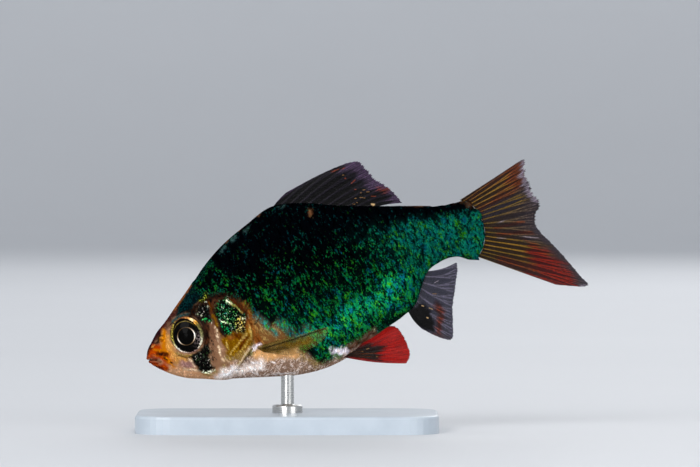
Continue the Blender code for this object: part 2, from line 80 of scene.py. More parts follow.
SCALE_END = [(47.9, 8), (48.5, 5.5), (49.7, 4.5), (50.3, 3), (50.45, 1.3), (50.1, -0.4), (49.2, -1.9),
             (48.2, -2.8), (47.6, -5.5)]
GILL = [(8.3, 9.6), (9.3, 7.4), (11, 5.9), (12.7, 4.7), (14, 3.2), (14.8, 1.6), (15.1, 0), (15, -1.6),
        (14.5, -3), (13.6, -4.3), (12.2, -5.3), (10.6, -6.1), (8.9, -6.9), (8, -9.2)]
MOUTH = [(-0.6, -0.62), (0.25, -0.66), (1.15, -1), (1.6, -1.5)]
EYE, EYE_AXIS, EYE_SUNK = (6.27, 0.93), np.array((-0.21, 1, 0.1)), 0.15
EYE_LONG, EYE_TALL = 2.32, 2.56  # half its length and half its height
HEAD_RING, TRUNK_RING, HEAD_END, AROUND = 0.07, 0.21, 16, 240  # spacing of the rings, and points on each
UNDER_SCALES = 0.12  # the trunk's skin lies this far inside the body's form
DRAWN_FROM, CLOSES_FROM, BODY_END = 44, 50.2, 51  # drawn out to the scales' end line, and closed to an edge


def place(points):
    """Fish to world: (u, y, v) is turned nose down about y, set over the rod and scaled from mm to m."""
    u, y, v = np.moveaxis(np.asarray(points, float), -1, 0)
    throat = THROAT[0] * math.sin(PITCH) + THROAT[1] * math.cos(PITCH)
    x = u * math.cos(PITCH) - v * math.sin(PITCH) - SNOUT_TO_ROD
    z = u * math.sin(PITCH) + v * math.cos(PITCH) - throat + THROAT_CLEARANCE + BASE_TOP
    return np.stack((x, y, z), axis=-1) * 0.001


def through(knots, values, at):
    """Smooth curve through values at knots: a cubic between each pair, with slopes from the neighbours."""
    slopes = np.gradient(values, knots)
    i = np.clip(np.searchsorted(knots, at) - 1, 0, len(knots) - 2)
    step = knots[i + 1] - knots[i]
    t = (at - knots[i]) / step
    start = (2 * t**3 - 3 * t**2 + 1) * values[i] + (t**3 - 2 * t**2 + t) * step * slopes[i]
    return start + (3 * t**2 - 2 * t**3) * values[i + 1] + (t**3 - t**2) * step * slopes[i + 1]


def body_at(u):
    """Back, belly and half width at u, as curves of the root of the distance from the tip of the snout."""
    knots = np.sqrt(BODY[:, 0] - BODY[0, 0])
    at = np.sqrt(np.clip(u - BODY[0, 0], 0, None))
    return [through(knots, BODY[:, column], at) for column in (1, 2, 3)]


def section(u, angle):
    """(y, v) of the body at u: y = width * cos(angle) ** power and v = middle + height * sin(angle), where
    the power pinches the back into a keel and rounds the belly. Past 90 degrees it goes down the other
    flank."""
    back, belly, width = body_at(u)
    middle = belly + WIDEST * (back - belly)
    rise, run = np.sin(angle), np.cos(angle)
    height = np.where(rise > 0, back - middle, middle - belly)
    power = np.where(rise > 0, 1 + KEEL * np.clip((u - 3) / 9, 0, 1), BELLY_POWER)
    return width * np.sign(run) * np.abs(run) ** power, middle + height * rise


def flank(u, v):
    """Half width of the body seen at (u, v) in side view."""
    back, belly, _ = body_at(u)
    middle = belly + WIDEST * (back - belly)
    share = (v - middle) / np.where(v > middle, back - middle, middle - belly)
    return section(u, np.arcsin(np.clip(share, -1, 1)))[0]


def ease(x):
    """0 below 0, 1 above 1, and 3x^2 - 2x^3 between."""
    x = np.clip(x, 0, 1)
    return x * x * (3 - 2 * x)


def to_line(u, v, line):
    """Distance to a bent line, the least over its straight pieces, and the side: 1 left, -1 right."""
    least, side = np.full(np.shape(u), np.inf), np.zeros(np.shape(u))
    for (au, av), (bu, bv) in zip(line[:-1], line[1:]):
        du, dv = bu - au, bv - av
        share = np.clip(((u - au) * du + (v - av) * dv) / (du * du + dv * dv), 0, 1)
        pu, pv = u - au - share * du, v - av - share * dv
        distance = np.hypot(pu, pv)
        side = np.where(distance < least, np.sign(du * pv - dv * pu), side)
        least = np.minimum(least, distance)
    return least, side


def inside(u, v, outline):
    """Distance to a closed outline, positive inside: a point is inside when a level line from it crosses an
    odd number of the outline's pieces."""
    closed = [*outline, outline[0]]
    odd = np.zeros(np.shape(u), bool)
    for (au, av), (bu, bv) in zip(closed[:-1], closed[1:]):
        if av != bv:
            odd ^= ((av > v) != (bv > v)) & (u < au + (v - av) * (bu - au) / (bv - av))
    return to_line(u, v, closed)[0] * np.where(odd, 1, -1)


def groove(u, v, line, width):
    """1 on a line, falling to 0 beside it as exp(-(distance / width)^2)."""
    return np.exp(-(to_line(u, v, line)[0] / width) ** 2)


def dots(u, v, centres, radius):
    """1 at each centre, falling to 0 round it as exp(-(distance / radius)^4)."""
    return sum(np.exp(-(np.hypot(u - a, v - b) / radius) ** 4) for a, b in centres)


def behind_gill(u, v):
    """Distance behind the line of the gill opening, negative ahead of it."""
    distance, side = to_line(u, v, GILL)
    return distance * side


PORES = [(10.45, 2.1), (10.35, 0.7), (10.2, -0.7), (9.9, -2.1), (9.75, -3.4), (9.3, -4.7)]
COVER_RIDGES = [[(10.75, 4.4), (10.35, 3.2), (10.3, 1.4), (10.2, -0.9), (9.8, -3.2), (9.4, -5)],
                [(10.9, -3.9), (12.4, -3.1), (14, -2)],
                [(11, 3.9), (10.9, 2), (11.3, 0.2), (11.9, -1)]]
HEAD_CREASES = [[(0.1, 0), (0.9, -0.3), (1.6, -0.95), (2.2, -1.7)],
                [(0.6, -1.75), (1.3, -2.25), (2.2, -2.9)],
                [(3, -2.6), (4.2, -3.6), (6, -4.5), (8, -5.4)],
                [(5, -2), (6.4, -2.5), (8, -2), (8.9, -0.4)],
                [(8.7, 2.6), (9.3, 3.6), (10.4, 4.5)]]


def relief(u, v):
    """How far the skin stands out from the body's form, in mm: rolls beside the mouth's line for the lips,
    pits for the nostrils and pores, a plate with a step behind it for the gill cover, and lines between the
    cheek's bones."""
    distance, side = to_line(u, v, MOUTH)
    near_mouth = ease((1.75 - u) / 0.8)
    lips = 0.11 * np.exp(-((distance - 0.26) / 0.17) ** 2) - 0.28 * np.exp(-(distance / 0.075) ** 2)
    out = near_mouth * (lips + 0.05 * (side > 0) * np.exp(-((distance - 0.45) / 0.25) ** 2))
    out -= 0.4 * dots(u, v, [(2.1, 1.2)], 0.2) + 0.35 * dots(u, v, [(2.55, 1.45), (2.68, 1.3)], 0.17)
    out += 0.09 * np.exp(-((np.hypot(u - 2.33, v - 1.3) - 0.5) / 0.12) ** 2)
    out -= sum(0.05 * groove(u, v, line, 0.1) for line in HEAD_CREASES)

    gill = behind_gill(u, v)
    window = ease((5.0 - v) / 1.0) * ease((v + 6.9) / 0.8)
    out += window * 0.13 * ease((u - 9.6) / 0.8) * ease(-gill / 0.05)
    out -= window * 0.42 * ease((gill + 0.02) / 0.05) * np.exp(-np.clip(gill, 0, None) / 0.45)
    out += window * 0.07 * np.exp(-((gill + 0.35) / 0.22) ** 2)
    out += 0.07 * groove(u, v, COVER_RIDGES[0], 0.28) - 0.1 * dots(u, v, PORES, 0.13)
    out -= 0.08 * groove(u - 0.35, v, COVER_RIDGES[0], 0.13) * ease((4.6 - v) / 0.6)
    out -= 0.07 * groove(u, v, COVER_RIDGES[1], 0.12) + 0.03 * groove(u, v, COVER_RIDGES[2], 0.2)
    return out - UNDER_SCALES * ease(gill / 0.8)


def eye_rim(u, y, v):
    """Shift of the skin round the eye, along y: it rises to the plane of the eye's edge, stands in a soft
    ring just outside that, and drops into a cup below the eye."""
    lift = flank(*map(np.array, EYE)) - EYE_SUNK * EYE_AXIS[1]
    centre = np.array(EYE) - EYE_SUNK * EYE_AXIS[[0, 2]]
    plane = lift - (EYE_AXIS[0] * (u - centre[0]) + EYE_AXIS[2] * (v - centre[1])) / EYE_AXIS[1]
    away = np.hypot(u - centre[0], (v - centre[1]) * EYE_LONG / EYE_TALL)
    ring = np.exp(-(np.clip(away - EYE_LONG - 0.05, 0, None) / 0.42) ** 2)
    shift = (plane + 0.13 - y) * ring
    return shift - 0.9 * ease((EYE_LONG + 0.02 - away) / 0.2)


def piece(name, points, *faces):
    """A smooth mesh object from points in metres and arrays of faces."""
    mesh = bpy.data.meshes.new(name)
    mesh.from_pydata(points.tolist(), [], [tuple(face) for part in faces for face in part.tolist()])
    mesh.shade_smooth()
    obj = bpy.data.objects.new(name, mesh)
    bpy.context.scene.collection.objects.link(obj)
    return obj


def net(name, points, *faces):
    """A piece from points in the fish's millimetres."""
    return piece(name, place(points.reshape(-1, 3)), *faces)


def quads(rows, columns, wrap=False):
    """The quads of a grid of points numbered row by row; wrap joins the last column to the first."""
    index = np.arange(rows * columns).reshape(rows, columns)
    if wrap:
        index = np.concatenate((index, index[:, :1]), axis=1)
    return np.stack((index[:-1, :-1], index[1:, :-1], index[1:, 1:], index[:-1, 1:]), axis=-1).reshape(-1, 4)


def fan(pole, ring):
    """Triangles from one point to each two neighbours of a closed ring."""
    return np.stack((np.full(len(ring), pole), ring, np.roll(ring, -1)), axis=-1)


def paint_on(obj, name, values):
    """Stores a colour and a fourth value, or one value, for each point of the mesh."""
    values = np.asarray(values, np.float32)
    if values.ndim == 1:
        obj.data.attributes.new(name, "FLOAT", "POINT").data.foreach_set("value", values)
    else:
        obj.data.attributes.new(name, "FLOAT_COLOR", "POINT").data.foreach_set("color", values.ravel())


# What each part of the fish is painted with: the ground, the flecks on it, the share that they cover, how
# silvery it is, and how far the flecks play between yellow, green and blue
SHADES = {
    "back": ((0.0004, 0.0006, 0.0012), (0.001, 0.02, 0.02), 0.1, 0, 1),
    "shoulder green": ((0.0004, 0.001, 0.0012), (0.002, 0.08, 0.018), 0.22, 0, 1),
    "flank": ((0.0004, 0.0032, 0.0026), (0.001, 0.088, 0.02), 0.36, 0, 1),
    "low flank": ((0.0005, 0.011, 0.007), (0.004, 0.148, 0.03), 0.54, 0, 1),
    "tail root": ((0.0005, 0.012, 0.01), (0.002, 0.098, 0.06), 0.62, 0, 1),
    "bright flank": ((0.0005, 0.016, 0.011), (0.004, 0.32, 0.1), 0.64, 0, 1),
    "dark edge": ((0.0008, 0.0024, 0.0024), (0.003, 0.03, 0.015), 0.25, 0, 0.5),
    "belly": ((0.25, 0.145, 0.095), (0.39, 0.255, 0.185), 0.44, 1, 0),
    "flesh": ((0.72, 0.36, 0.13), (0.78, 0.45, 0.19), 0.4, 0, 0),
    "shoulder": ((0.17, 0.07, 0.02), (0.25, 0.15, 0.045), 0.45, 0, 0),
    "rust": ((0.2, 0.056, 0.008), (0.26, 0.085, 0.014), 0.4, 0, 0),
    "blue frill": ((0.06, 0.07, 0.05), (0.01, 0.19, 0.16), 0.6, 0, 1),
    "silver": ((0.6, 0.52, 0.6), (0.86, 0.8, 0.88), 0.6, 1, 0),
    "throat": ((0.86, 0.69, 0.6), (0.97, 0.89, 0.85), 0.6, 0.6, 0),
    "cheek": ((0.25, 0.125, 0.065), (0.31, 0.17, 0.1), 0.4, 0, 0),
    "cheek plate": ((0.26, 0.125, 0.105), (0.32, 0.17, 0.15), 0.35, 0, 0),
    "mauve": ((0.045, 0.011, 0.008), (0.075, 0.022, 0.014), 0.4, 0, 0),
    "peach": ((0.52, 0.23, 0.045), (0.56, 0.27, 0.07), 0.4, 0, 0),
    "chin": ((0.52, 0.26, 0.125), (0.56, 0.3, 0.16), 0.4, 0.1, 0),
    "orange": ((0.33, 0.032, 0.0005), (0.38, 0.052, 0.001), 0.45, 0, 0),
    "lip": ((0.16, 0.012, 0.0005), (0.22, 0.022, 0.001), 0.4, 0, 0),
    "yellow": ((0.46, 0.135, 0.0005), (0.5, 0.165, 0.001), 0.45, 0, 0),
    "brow": ((0.04, 0.005, 0.004), (0.07, 0.012, 0.006), 0.4, 0, 0),
    "snout top": ((0.014, 0.002, 0.004), (0.03, 0.006, 0.008), 0.4, 0, 0),
    "nape": ((0.0004, 0.003, 0.004), (0.001, 0.018, 0.018), 0.4, 0, 0.5),
    "nape haze": ((0.012, 0.026, 0.025), (0.024, 0.06, 0.056), 0.5, 0, 0),
    "soot": ((0.012, 0.004, 0.0018), (0.002, 0.001, 0.001), 0.42, 0, 0),
    "bark": ((0.065, 0.02, 0.007), (0.015, 0.005, 0.002), 0.4, 0, 0),
    "sparkle": ((0.0025, 0.002, 0.0018), (0.035, 0.045, 0.03), 0.16, 0.45, 0.6),
    "glow edge": ((0.05, 0.05, 0.025), (0.98, 0.96, 0.7), 0.66, 0, 0.2),
    "emerald": ((0.0015, 0.006, 0.003), (0.004, 0.36, 0.08), 0.34, 0.2, 0.6),
    "dark jewel": ((0.0015, 0.0025, 0.0012), (0.012, 0.12, 0.035), 0.16, 0.25, 0.6),
    "jewel": ((0.0012, 0.003, 0.0018), (0.04, 0.26, 0.07), 0.16, 0.55, 0.7),
    "brass": ((0.15, 0.058, 0.001), (0.22, 0.105, 0.002), 0.45, 0, 0),
    "brown": ((0.06, 0.012, 0.0005), (0.11, 0.032, 0.001), 0.35, 0, 0),
    "olive": ((0.2, 0.115, 0.016), (0.3, 0.2, 0.05), 0.45, 0.2, 0),
    "gold line": ((0.62, 0.42, 0.09), (0.78, 0.58, 0.16), 0.9, 0, 0),
    "spot": ((0.004, 0.003, 0.003), (0.01, 0.01, 0.01), 0.1, 0, 0),
    "dusk": ((0.07, 0.012, 0.001), (0.11, 0.024, 0.002), 0.3, 0, 0),
    "red line": ((0.07, 0.003, 0.0005), (0.1, 0.006, 0.001), 0.3, 0, 0),
    "rim": ((0.17, 0.046, 0.009), (0.25, 0.076, 0.013), 0.45, 0, 0),
    "tan mauve": ((0.13, 0.056, 0.03), (0.18, 0.086, 0.045), 0.4, 0, 0),
    "tan column": ((0.3, 0.17, 0.1), (0.42, 0.27, 0.16), 0.45, 0.1, 0),
    "peppered": ((0.19, 0.09, 0.045), (0.006, 0.004, 0.003), 0.4, 0, 0),
    "lime": ((0.005, 0.009, 0.0015), (0.3, 0.32, 0.012), 0.3, 0.2, 0.3),
    # Painted highlights on the silver: near-white glints on the throat and belly
    "foil highlight": ((0.96, 0.88, 0.88), (0.99, 0.97, 0.98), 0.6, 0.2, 0),
    "gold specks": ((0.008, 0.006, 0.002), (0.8, 0.56, 0.1), 0.34, 0.5, 0.3),
    "scar": ((0.12, 0.048, 0.02), (0.15, 0.066, 0.028), 0.4, 0, 0),
    "pore": ((0.8, 0.56, 0.34), (0.94, 0.76, 0.52), 0.5, 0, 0),
}
# Where they are, one over the other: shade, points, half width of a line (0 for a filled outline), softness
MARKS = [
    ("bright flank", [(23, -5.4), (28, -4.6), (33, -3.9), (36.5, -1.6)], 0.9, 1.5),
    ("rust", [(14.6, 3.2), (15.4, 2), (15.9, 0.8), (16.2, -1), (16.2, -4), (14, -4.6), (13.5, -1)], 0, 0.35),
    ("shoulder", [(15.6, 0.2), (16.4, -0.6), (17.6, -1.5), (18.6, -2.3), (19.6, -4.2), (18, -5.6),
                  (15.8, -5)], 0, 0.5),
    ("belly", [(14, -4.4), (16.5, -4.9), (19, -5.6), (20.4, -6.3), (21.2, -7.5), (22.6, -9), (24.6, -9.4),
               (26, -8.4), (28.6, -8), (31, -7.2), (31, -12), (6, -12), (7.6, -5.9), (10, -5.4)], 0, 0.5),
    ("flesh", [(14.6, -4.9), (17, -5.6), (19.4, -6.4)], 0.75, 0.6),
    ("blue frill", [(16.3, 0.1), (17.3, -1.6), (17.8, -3)], 0.4, 0.5),
    ("blue frill", [(19, -2), (19.8, -3.2), (20.6, -4.2), (22.6, -4.2)], 0.4, 0.6),
    ("brass", [(17.4, -5.1), (20, -5.4), (22, -5.6)], 0.4, 0.5),
    ("shoulder green", [(21.2, -7), (22.6, -9)], 0.35, 0.6),
    ("olive", [(20.4, -7.2), (21.6, -9.2)], 0.3, 0.8),
    ("bark", [(26.6, -8.7), (30.5, -7.6)], 0.35, 0.4),
    ("silver", [(24.6, -8.1), (25.2, -8.4), (26.2, -8.8)], 0.42, 0.25),
    ("dark edge", [(31.4, -6.9), (33, -6.9), (35.4, -7.2), (38.6, -5.6), (39.6, -4)], 0.25, 0.6),
    ("dark edge", [(39.6, -3.6), (40.6, -2.7), (42.6, -1.9), (45, -1.9), (47, -2.5)], 0.2, 0.45),
    ("scar", [(28.1, 10.6), (28.3, 11.3)], 0.24, 0.14),
    ("bark", [(41.2, 7.3), (43.2, 6.7), (47.6, 5.5)], 0.1, 0.3),
    ("scar", [(42.6, 6.75), (43, 6.6)], 0.1, 0.25),
    ("scar", [(48.4, 5.4), (49.2, 4.7), (49.9, 3.8)], 0.1, 0.35),
    ("bark", [(9.6, 7.7), (12, 9.3), (15, 11.1), (18.6, 12.4), (20, 12.8)], 0.08, 0.12),
    ("nape haze", [(9.6, 7.1), (10.1, 7.6)], 0.14, 0.24),
    ("nape haze", [(12.3, 8.7), (12.7, 9)], 0.16, 0.24),
    ("nape haze", [(14.7, 10.2), (15.4, 10.6)], 0.22, 0.2),
    ("nape haze", [(16.6, 11.1), (17.1, 11.4)], 0.28, 0.18),
    ("nape haze", [(18.7, 11.7), (19.2, 11.9)], 0.2, 0.2),
    ("nape haze", [(24.3, 13.2), (25, 13.1)], 0.16, 0.2),
    ("scar", [(15.6, 11), (16.1, 11.3)], 0.06, 0.1),
    ("scar", [(17.9, 12), (18.4, 12.3)], 0.07, 0.1),
    ("scar", [(21, 13), (21.5, 13.25)], 0.06, 0.1),
    ("spot", [(30.8, -4.3), (30.9, -4.2)], 0.1, 0.12),
    ("spot", [(35.9, -4.4), (35.75, -5)], 0.08, 0.12),
    ("spot", [(32.95, -3.3), (32.8, -3.8)], 0.06, 0.1),
    ("nape", [(5.3, 4.1), (5.7, 3.9), (6.4, 3.8), (7.6, 3.7), (8.3, 3.4), (8.7, 4.2), (9.6, 4.6),
              (10.6, 4.2), (12.4, 4.6), (13.8, 3.5), (15.2, 2.4), (15, 5), (12, 12), (5, 9)], 0, 0.3),
    ("shoulder green", [(10, 5.6), (12.4, 4.9), (14.3, 3.6), (15.6, 2.6), (16.4, 5), (13, 9),
                        (9.6, 7.6)], 0, 0.8),
    ("chin", [(-1, -1), (1.5, -1.6), (3.4, -2.5), (4.4, -3.2), (6.4, -4.4), (8.6, -5), (8.8, -7),
              (-1, -5)], 0, 0.5),
    ("peach", [(2.4, 2.2), (3.4, 2.6), (4, 1.6), (3.9, 0), (4.2, -1.4), (5.6, -2.2), (4.6, -2.6),
               (3.4, -2.2), (2.4, -1.6)], 0, 0.4),
    ("tan mauve", [(3.6, 2.5), (4.3, 2.95), (5, 3.45)], 0.3, 0.35),
    ("mauve", [(0.1, 0.6), (1.5, 1.8), (3.2, 3), (4.6, 3.95), (5.6, 4.6)], 0.5, 0.3),
    ("soot", [(6.9, 4), (8, 3.85)], 0.1, 0.15),
    ("rim", [(5.4, 4.75), (6.4, 5.35), (8.9, 7.2)], 0.26, 0.16),
    ("brow", [(1.2, 1.5), (2.6, 2.7), (4.4, 4), (6, 5.25), (8.9, 7.4)], 0.16, 0.18),
    ("soot", [(4.6, 3), (5.4, 3.5), (6.3, 3.7), (7.6, 3.4)], 0.12, 0.14),
    ("nape haze", [(5, 3.3), (5.6, 3.6), (6.6, 3.74), (7.9, 3.42)], 0.17, 0.12),
    ("cheek plate", [(4.4, -2.6), (5, -3), (5.5, -3.3)], 0.42, 0.3),
    ("pore", [(5.3, -2.25), (5.75, -2.7), (5.8, -3.5)], 0.04, 0.3),
    ("pore", [(4.4, -3.5), (5, -3.75), (6.2, -4.4)], 0.05, 0.3),
    ("orange", [(-0.6, 0.4), (0.6, 0.5), (1.6, 0.5), (2.1, -0.5), (2.6, -1.2)], 0.75, 0.4),
    ("orange", [(0.2, -1.2), (1.2, -1.9), (1.9, -2.5)], 0.4, 0.35),
    ("yellow", [(3.4, 2.2), (3, 1.5), (2.7, 0.5)], 0.42, 0.3),
    ("yellow", [(1.5, 0.35), (2.4, 0.1), (3, -0.6)], 0.2, 0.3),
    ("yellow", [(2.3, -0.9), (2.8, -1.8), (3, -2.5)], 0.22, 0.3),
    ("snout top", [(0, 0.3), (0.7, 1.1), (1.6, 1.9), (2.7, 2.7)], 0.28, 0.25),
    ("soot", [(1.75, 1.25), (2.1, 1.4), (2.8, 2.1)], 0.2, 0.22),
    ("dusk", [(0.25, 0.5), (0.8, 0.75), (1.4, 0.95)], 0.1, 0.25),
    ("peach", [(1.05, 0.95), (1.5, 1.1)], 0.04, 0.12),
    ("lip", [(-0.6, -0.25), (0.3, -0.35), (1.2, -0.75)], 0.16, 0.22),
    ("lip", [(-0.6, -1), (0.5, -1.1), (1.2, -1.45)], 0.2, 0.25),
    ("orange", [(0.3, -0.15), (1.3, -0.4), (1.9, -1)], 0.06, 0.14),
    ("yellow", [(0.9, -0.2), (1.6, -0.5)], 0.02, 0.1),
    ("dusk", [(1.6, -0.15), (2.1, -0.4), (2.7, -0.7)], 0.26, 0.24),
    ("dusk", [(2.1, -1), (2.6, -1.4)], 0.1, 0.2),
    ("red line", [(-0.4, -0.64), (0.25, -0.7), (1.05, -0.98)], 0.08, 0.08),
    ("red line", [(0.6, -1.7), (0.95, -1.95), (1.5, -2.45)], 0.14, 0.16),
    ("dusk", [(1.05, -0.98), (1.55, -1.45)], 0.03, 0.1),
    ("spot", [(1.85, -0.28), (2.1, -0.45)], 0.13, 0.14),
    ("spot", [(2.25, -0.65), (2.45, -0.75)], 0.05, 0.1),
    ("spot", [(2.15, -1), (2.45, -1.35)], 0.05, 0.09),
    ("spot", [(2.84, -1.88), (2.98, -2.02)], 0.1, 0.08),
    ("spot", [(1.6, -1.36), (1.66, -1.42)], 0.03, 0.08),
    ("olive", [(4.1, -1), (4.7, -1.6), (6.2, -2.05)], 0.16, 0.2),
    ("bark", [(4.2, -1.3), (5.1, -2), (6.6, -2.25)], 0.07, 0.12),
    ("soot", [(7.6, 3.1), (8.25, 2.3), (8.5, 1.2), (8.5, 0.2)], 0.2, 0.15),
    ("soot", [(8.1, 3.5), (8.7, 3), (9, 2.2), (9.1, 1.3), (9, 0.4)], 0.5, 0.3),
    ("peppered", [(9.6, 0.9), (9.4, -0.8), (9, -2.2), (8.7, -3.6)], 0.3, 0.3),
    ("soot", [(9.3, 1.8), (9.1, 1), (8.75, -0.5), (8.1, -1.6), (7.3, -2.15), (6.4, -2.2)], 0.42, 0.2),
    ("bark", [(8.9, -0.6), (8.5, -1.4)], 0.2, 0.3),
    ("bark", [(9.6, 1.5), (9.5, 0.6)], 0.3, 0.4),
    ("sparkle", [(5.7, -2.1), (6.4, -1.9), (7.6, -1.7), (8.7, -1), (8.7, -2.3), (8.2, -3), (8, -3.8),
                 (8.4, -4.6), (7.6, -4.95), (6.8, -4.75), (6.1, -4.3), (5.9, -3.2)], 0, 0.22),
    ("glow edge", [(6.5, -4.7), (7.2, -5), (8.2, -4.95)], 0.14, 0.18),
    ("olive", [(6.6, -5.15), (7.6, -5.45), (8.8, -5.35), (9.6, -4.9)], 0.15, 0.25),
    ("bark", [(10.2, 4.6), (12.2, 4.7), (13.4, 4.3), (14.8, 3), (15.3, 1.2), (15, 0), (14, -0.8), (12, -1.5),
              (10.6, -1), (10.2, 1.6), (9.9, 3.4)], 0, 0.3),
    ("soot", [(10.7, 4.2), (11.2, 4.6), (12.6, 4.5), (13.6, 3.7)], 0.4, 0.35),
    ("soot", [(10.9, 3.4), (10.95, 2.2), (11.2, 1.4)], 0.16, 0.2),
    ("soot", [(8.1, 3.5), (8.9, 4.15), (9.6, 4.5), (10.6, 4.4)], 0.4, 0.25),
    ("tan mauve", [(10.15, 1.5), (9.95, 0.5), (9.7, -0.8)], 0.3, 0.35),
    ("sparkle", [(8.5, 3.3), (8.9, 4), (9.6, 4.3), (10.4, 4.1), (10.5, 3.2), (10.3, 2.2), (10.1, 1.6),
                 (9.4, 1.9), (9, 2.6)], 0, 0.2),
    ("glow edge", [(8.5, 3.15), (8.7, 3.1)], 0.04, 0.08),
    ("glow edge", [(9.12, 2.85), (9.2, 2.75)], 0.05, 0.08),
    ("glow edge", [(10.35, 3.75), (10.45, 3.6)], 0.07, 0.09),
    ("emerald", [(9.3, 2.2), (9.6, 2), (10.1, 1.75)], 0.24, 0.16),
    ("glow edge", [(9.95, 1.45), (10.1, 1.35)], 0.06, 0.08),
    ("brown", [(10.6, 4.3), (10.8, 3.6), (10.6, 2.9)], 0.1, 0.14),
    ("brass", [(10.6, 2.3), (10.8, 1.6), (10.7, 0.8)], 0.16, 0.16),
    ("brass", [(10.6, 0.6), (10.65, -1.2), (14.6, -0.9), (15, -2), (14.2, -3.4), (12.5, -4.2),
               (10.6, -4.1)], 0, 0.3),
    ("gold line", [(11.1, -1.9), (11, -2.9)], 0.0001, 0.25),
    ("olive", [(10.4, -4.1), (12.2, -4.4), (13.6, -4)], 0.3, 0.4),
    ("dark jewel", [(11, 2.6), (11.4, 3.3), (12.2, 4), (13.2, 4), (14.3, 2.4), (14.9, 0.9), (14.5, -0.6),
                    (13.9, -1.4), (13.2, -1.3), (12.5, -0.5), (11.6, -1), (11, -0.4), (11, 1.2)], 0, 0.22),
    ("jewel", [(11.5, 2.4), (12.2, 3.3), (13, 3.7), (13.9, 2.4), (14.5, 1.1), (14.1, -0.2), (13.8, -1.2),
               (13.2, -0.8), (12.6, 0.3), (12.2, 0.9), (11.6, 1.6)], 0, 0.3),
    ("emerald", [(11.5, 1), (11.6, 0), (11.9, -0.6)], 0.3, 0.2),
    ("spot", [(10.95, 0.4), (10.98, -0.4), (11.3, -1)], 0.14, 0.14),
    ("glow edge", [(11.4, 1.2), (12.05, 0.6)], 0.1, 0.14),
    ("gold specks", [(13.9, 1.2), (14.5, 0.5), (14.3, -0.7), (13.8, -1.5), (13.1, -0.9),
                     (13.2, 0.3)], 0, 0.3),
    ("glow edge", [(13.1, 3.6), (13.5, 3)], 0.14, 0.16),
    ("gold line", [(13.5, 3.1), (14.2, 2.1), (14.6, 1.2)], 0.0001, 0.2),
    ("glow edge", [(14.3, 0.45), (14.7, 0.4)], 0.1, 0.1),
    ("rust", [(11.6, -1.4), (12.2, -1.6)], 0.2, 0.25),
    ("brown", [(12.6, -1.4), (13.2, -1.9), (13.8, -2.2)], 0.3, 0.3),
    ("dusk", [(12.6, -3.3), (13.2, -2.7), (13.7, -2.3)], 0.16, 0.14),
    ("gold line", [(10.9, -3.7), (11.8, -3.15), (13.6, -2), (14.2, -1.6)], 0.0001, 0.24),
    ("gold line", [(12.2, -3.9), (13.4, -3.2), (14.3, -2.5)], 0.0001, 0.2),
    ("gold line", [(14.85, -0.7), (14.8, -1.8), (14.6, -2.7)], 0.02, 0.24),
    ("olive", [(14.5, -3.4), (13.6, -4.1), (12.4, -4.8), (11.2, -5.7)], 0.2, 0.22),
    ("pore", [(14.06, -3.66), (12.9, -4.4), (11.6, -5.5)], 0.07, 0.1),
    ("dusk", [(13.6, 3.7), (14.5, 2.3), (14.9, 1.4)], 0.14, 0.14),
    ("lime", [(9.7, 4.9), (10.2, 4.75), (10.8, 5.3)], 0.22, 0.2),
    ("glow edge", [(10.3, 4.35), (10.4, 4.3)], 0.06, 0.1),
    ("silver", [(14.3, -3.85), (14.8, -3.9), (15.5, -3.7)], 0.16, 0.1),
    ("tan column", [(10.4, 0.3), (10.35, -0.8), (10.15, -2.2), (9.9, -3.6)], 0.1, 0.22),
    ("pore", [(10.55, 0.35), (10.45, 0.05)], 0.05, 0.07),
    ("pore", [(10.32, -0.3), (10.28, -0.5)], 0.04, 0.07),
    ("pore", [(10.1, -1.2), (10.05, -1.5)], 0.03, 0.07),
    ("pore", [(9.95, -2.4), (9.75, -2.9), (9.7, -3.4)], 0.09, 0.11),
    ("pore", [(9.75, -3.8), (9.9, -4.2)], 0.1, 0.12),
    ("pore", [(10.2, -4), (10.5, -4.6)], 0.03, 0.2),
    ("pore", [(10.35, 0.7), (10.36, 0.7)], 0.09, 0.1),
    ("pore", [(10.2, -0.7), (10.21, -0.7)], 0.14, 0.09),
    ("pore", [(9.9, -2.1), (9.91, -2.1)], 0.14, 0.1),
    ("throat", [(8.6, -5.85), (10.4, -6), (13, -6.4), (14.6, -6.6)], 0.5, 0.55),
    # Painted highlights: near-white glints where the silvery throat and belly catch the light
    ("foil highlight", [(8.8, -5.95), (9.9, -6.3), (10.6, -5.7)], 0.16, 0.24),
    ("foil highlight", [(10.6, -5.2), (11, -5.5)], 0.06, 0.16),
    ("foil highlight", [(12, -6), (12.8, -5.7)], 0.08, 0.18),
    ("foil highlight", [(13.5, -5.8), (14.2, -6.1)], 0.12, 0.16),
    ("foil highlight", [(13, -7.1), (13.7, -7.6)], 0.03, 0.12),
    ("foil highlight", [(15.6, -8.4), (16.6, -8.6), (18.6, -9.2)], 0.03, 0.14),
    ("foil highlight", [(16, -6.6), (16.4, -6.9)], 0.04, 0.14),
]


def wander(u, v, size, seed):
    """A smooth random value between about -1 and 1: the mean of eight sine waves with lengths near size."""
    draw = np.random.default_rng(seed)
    turn, phase = draw.uniform(0, 2 * math.pi, (2, 8))
    length = size * draw.uniform(0.6, 1.6, 8)
    waves = [np.sin(2 * math.pi * (u * math.cos(t) + v * math.sin(t)) / s + p)
             for t, p, s in zip(turn, phase, length)]
    return sum(waves) / math.sqrt(8)


def covered(u, v, points, width, soft):
    """1 on a mark and 0 off it, with a step that is soft on both sides of its edge. A mark is a bent line
    with a half width, or a filled outline where that is 0."""
    inward = width - to_line(u, v, points)[0] if width else inside(u, v, points)
    return ease((inward + soft) / (2 * soft))


def shade(name):
    """The nine numbers of a shade in one row."""
    ground, fleck, cover, silver, play = SHADES[name]
    return np.array((*ground, cover, *fleck, silver, play))


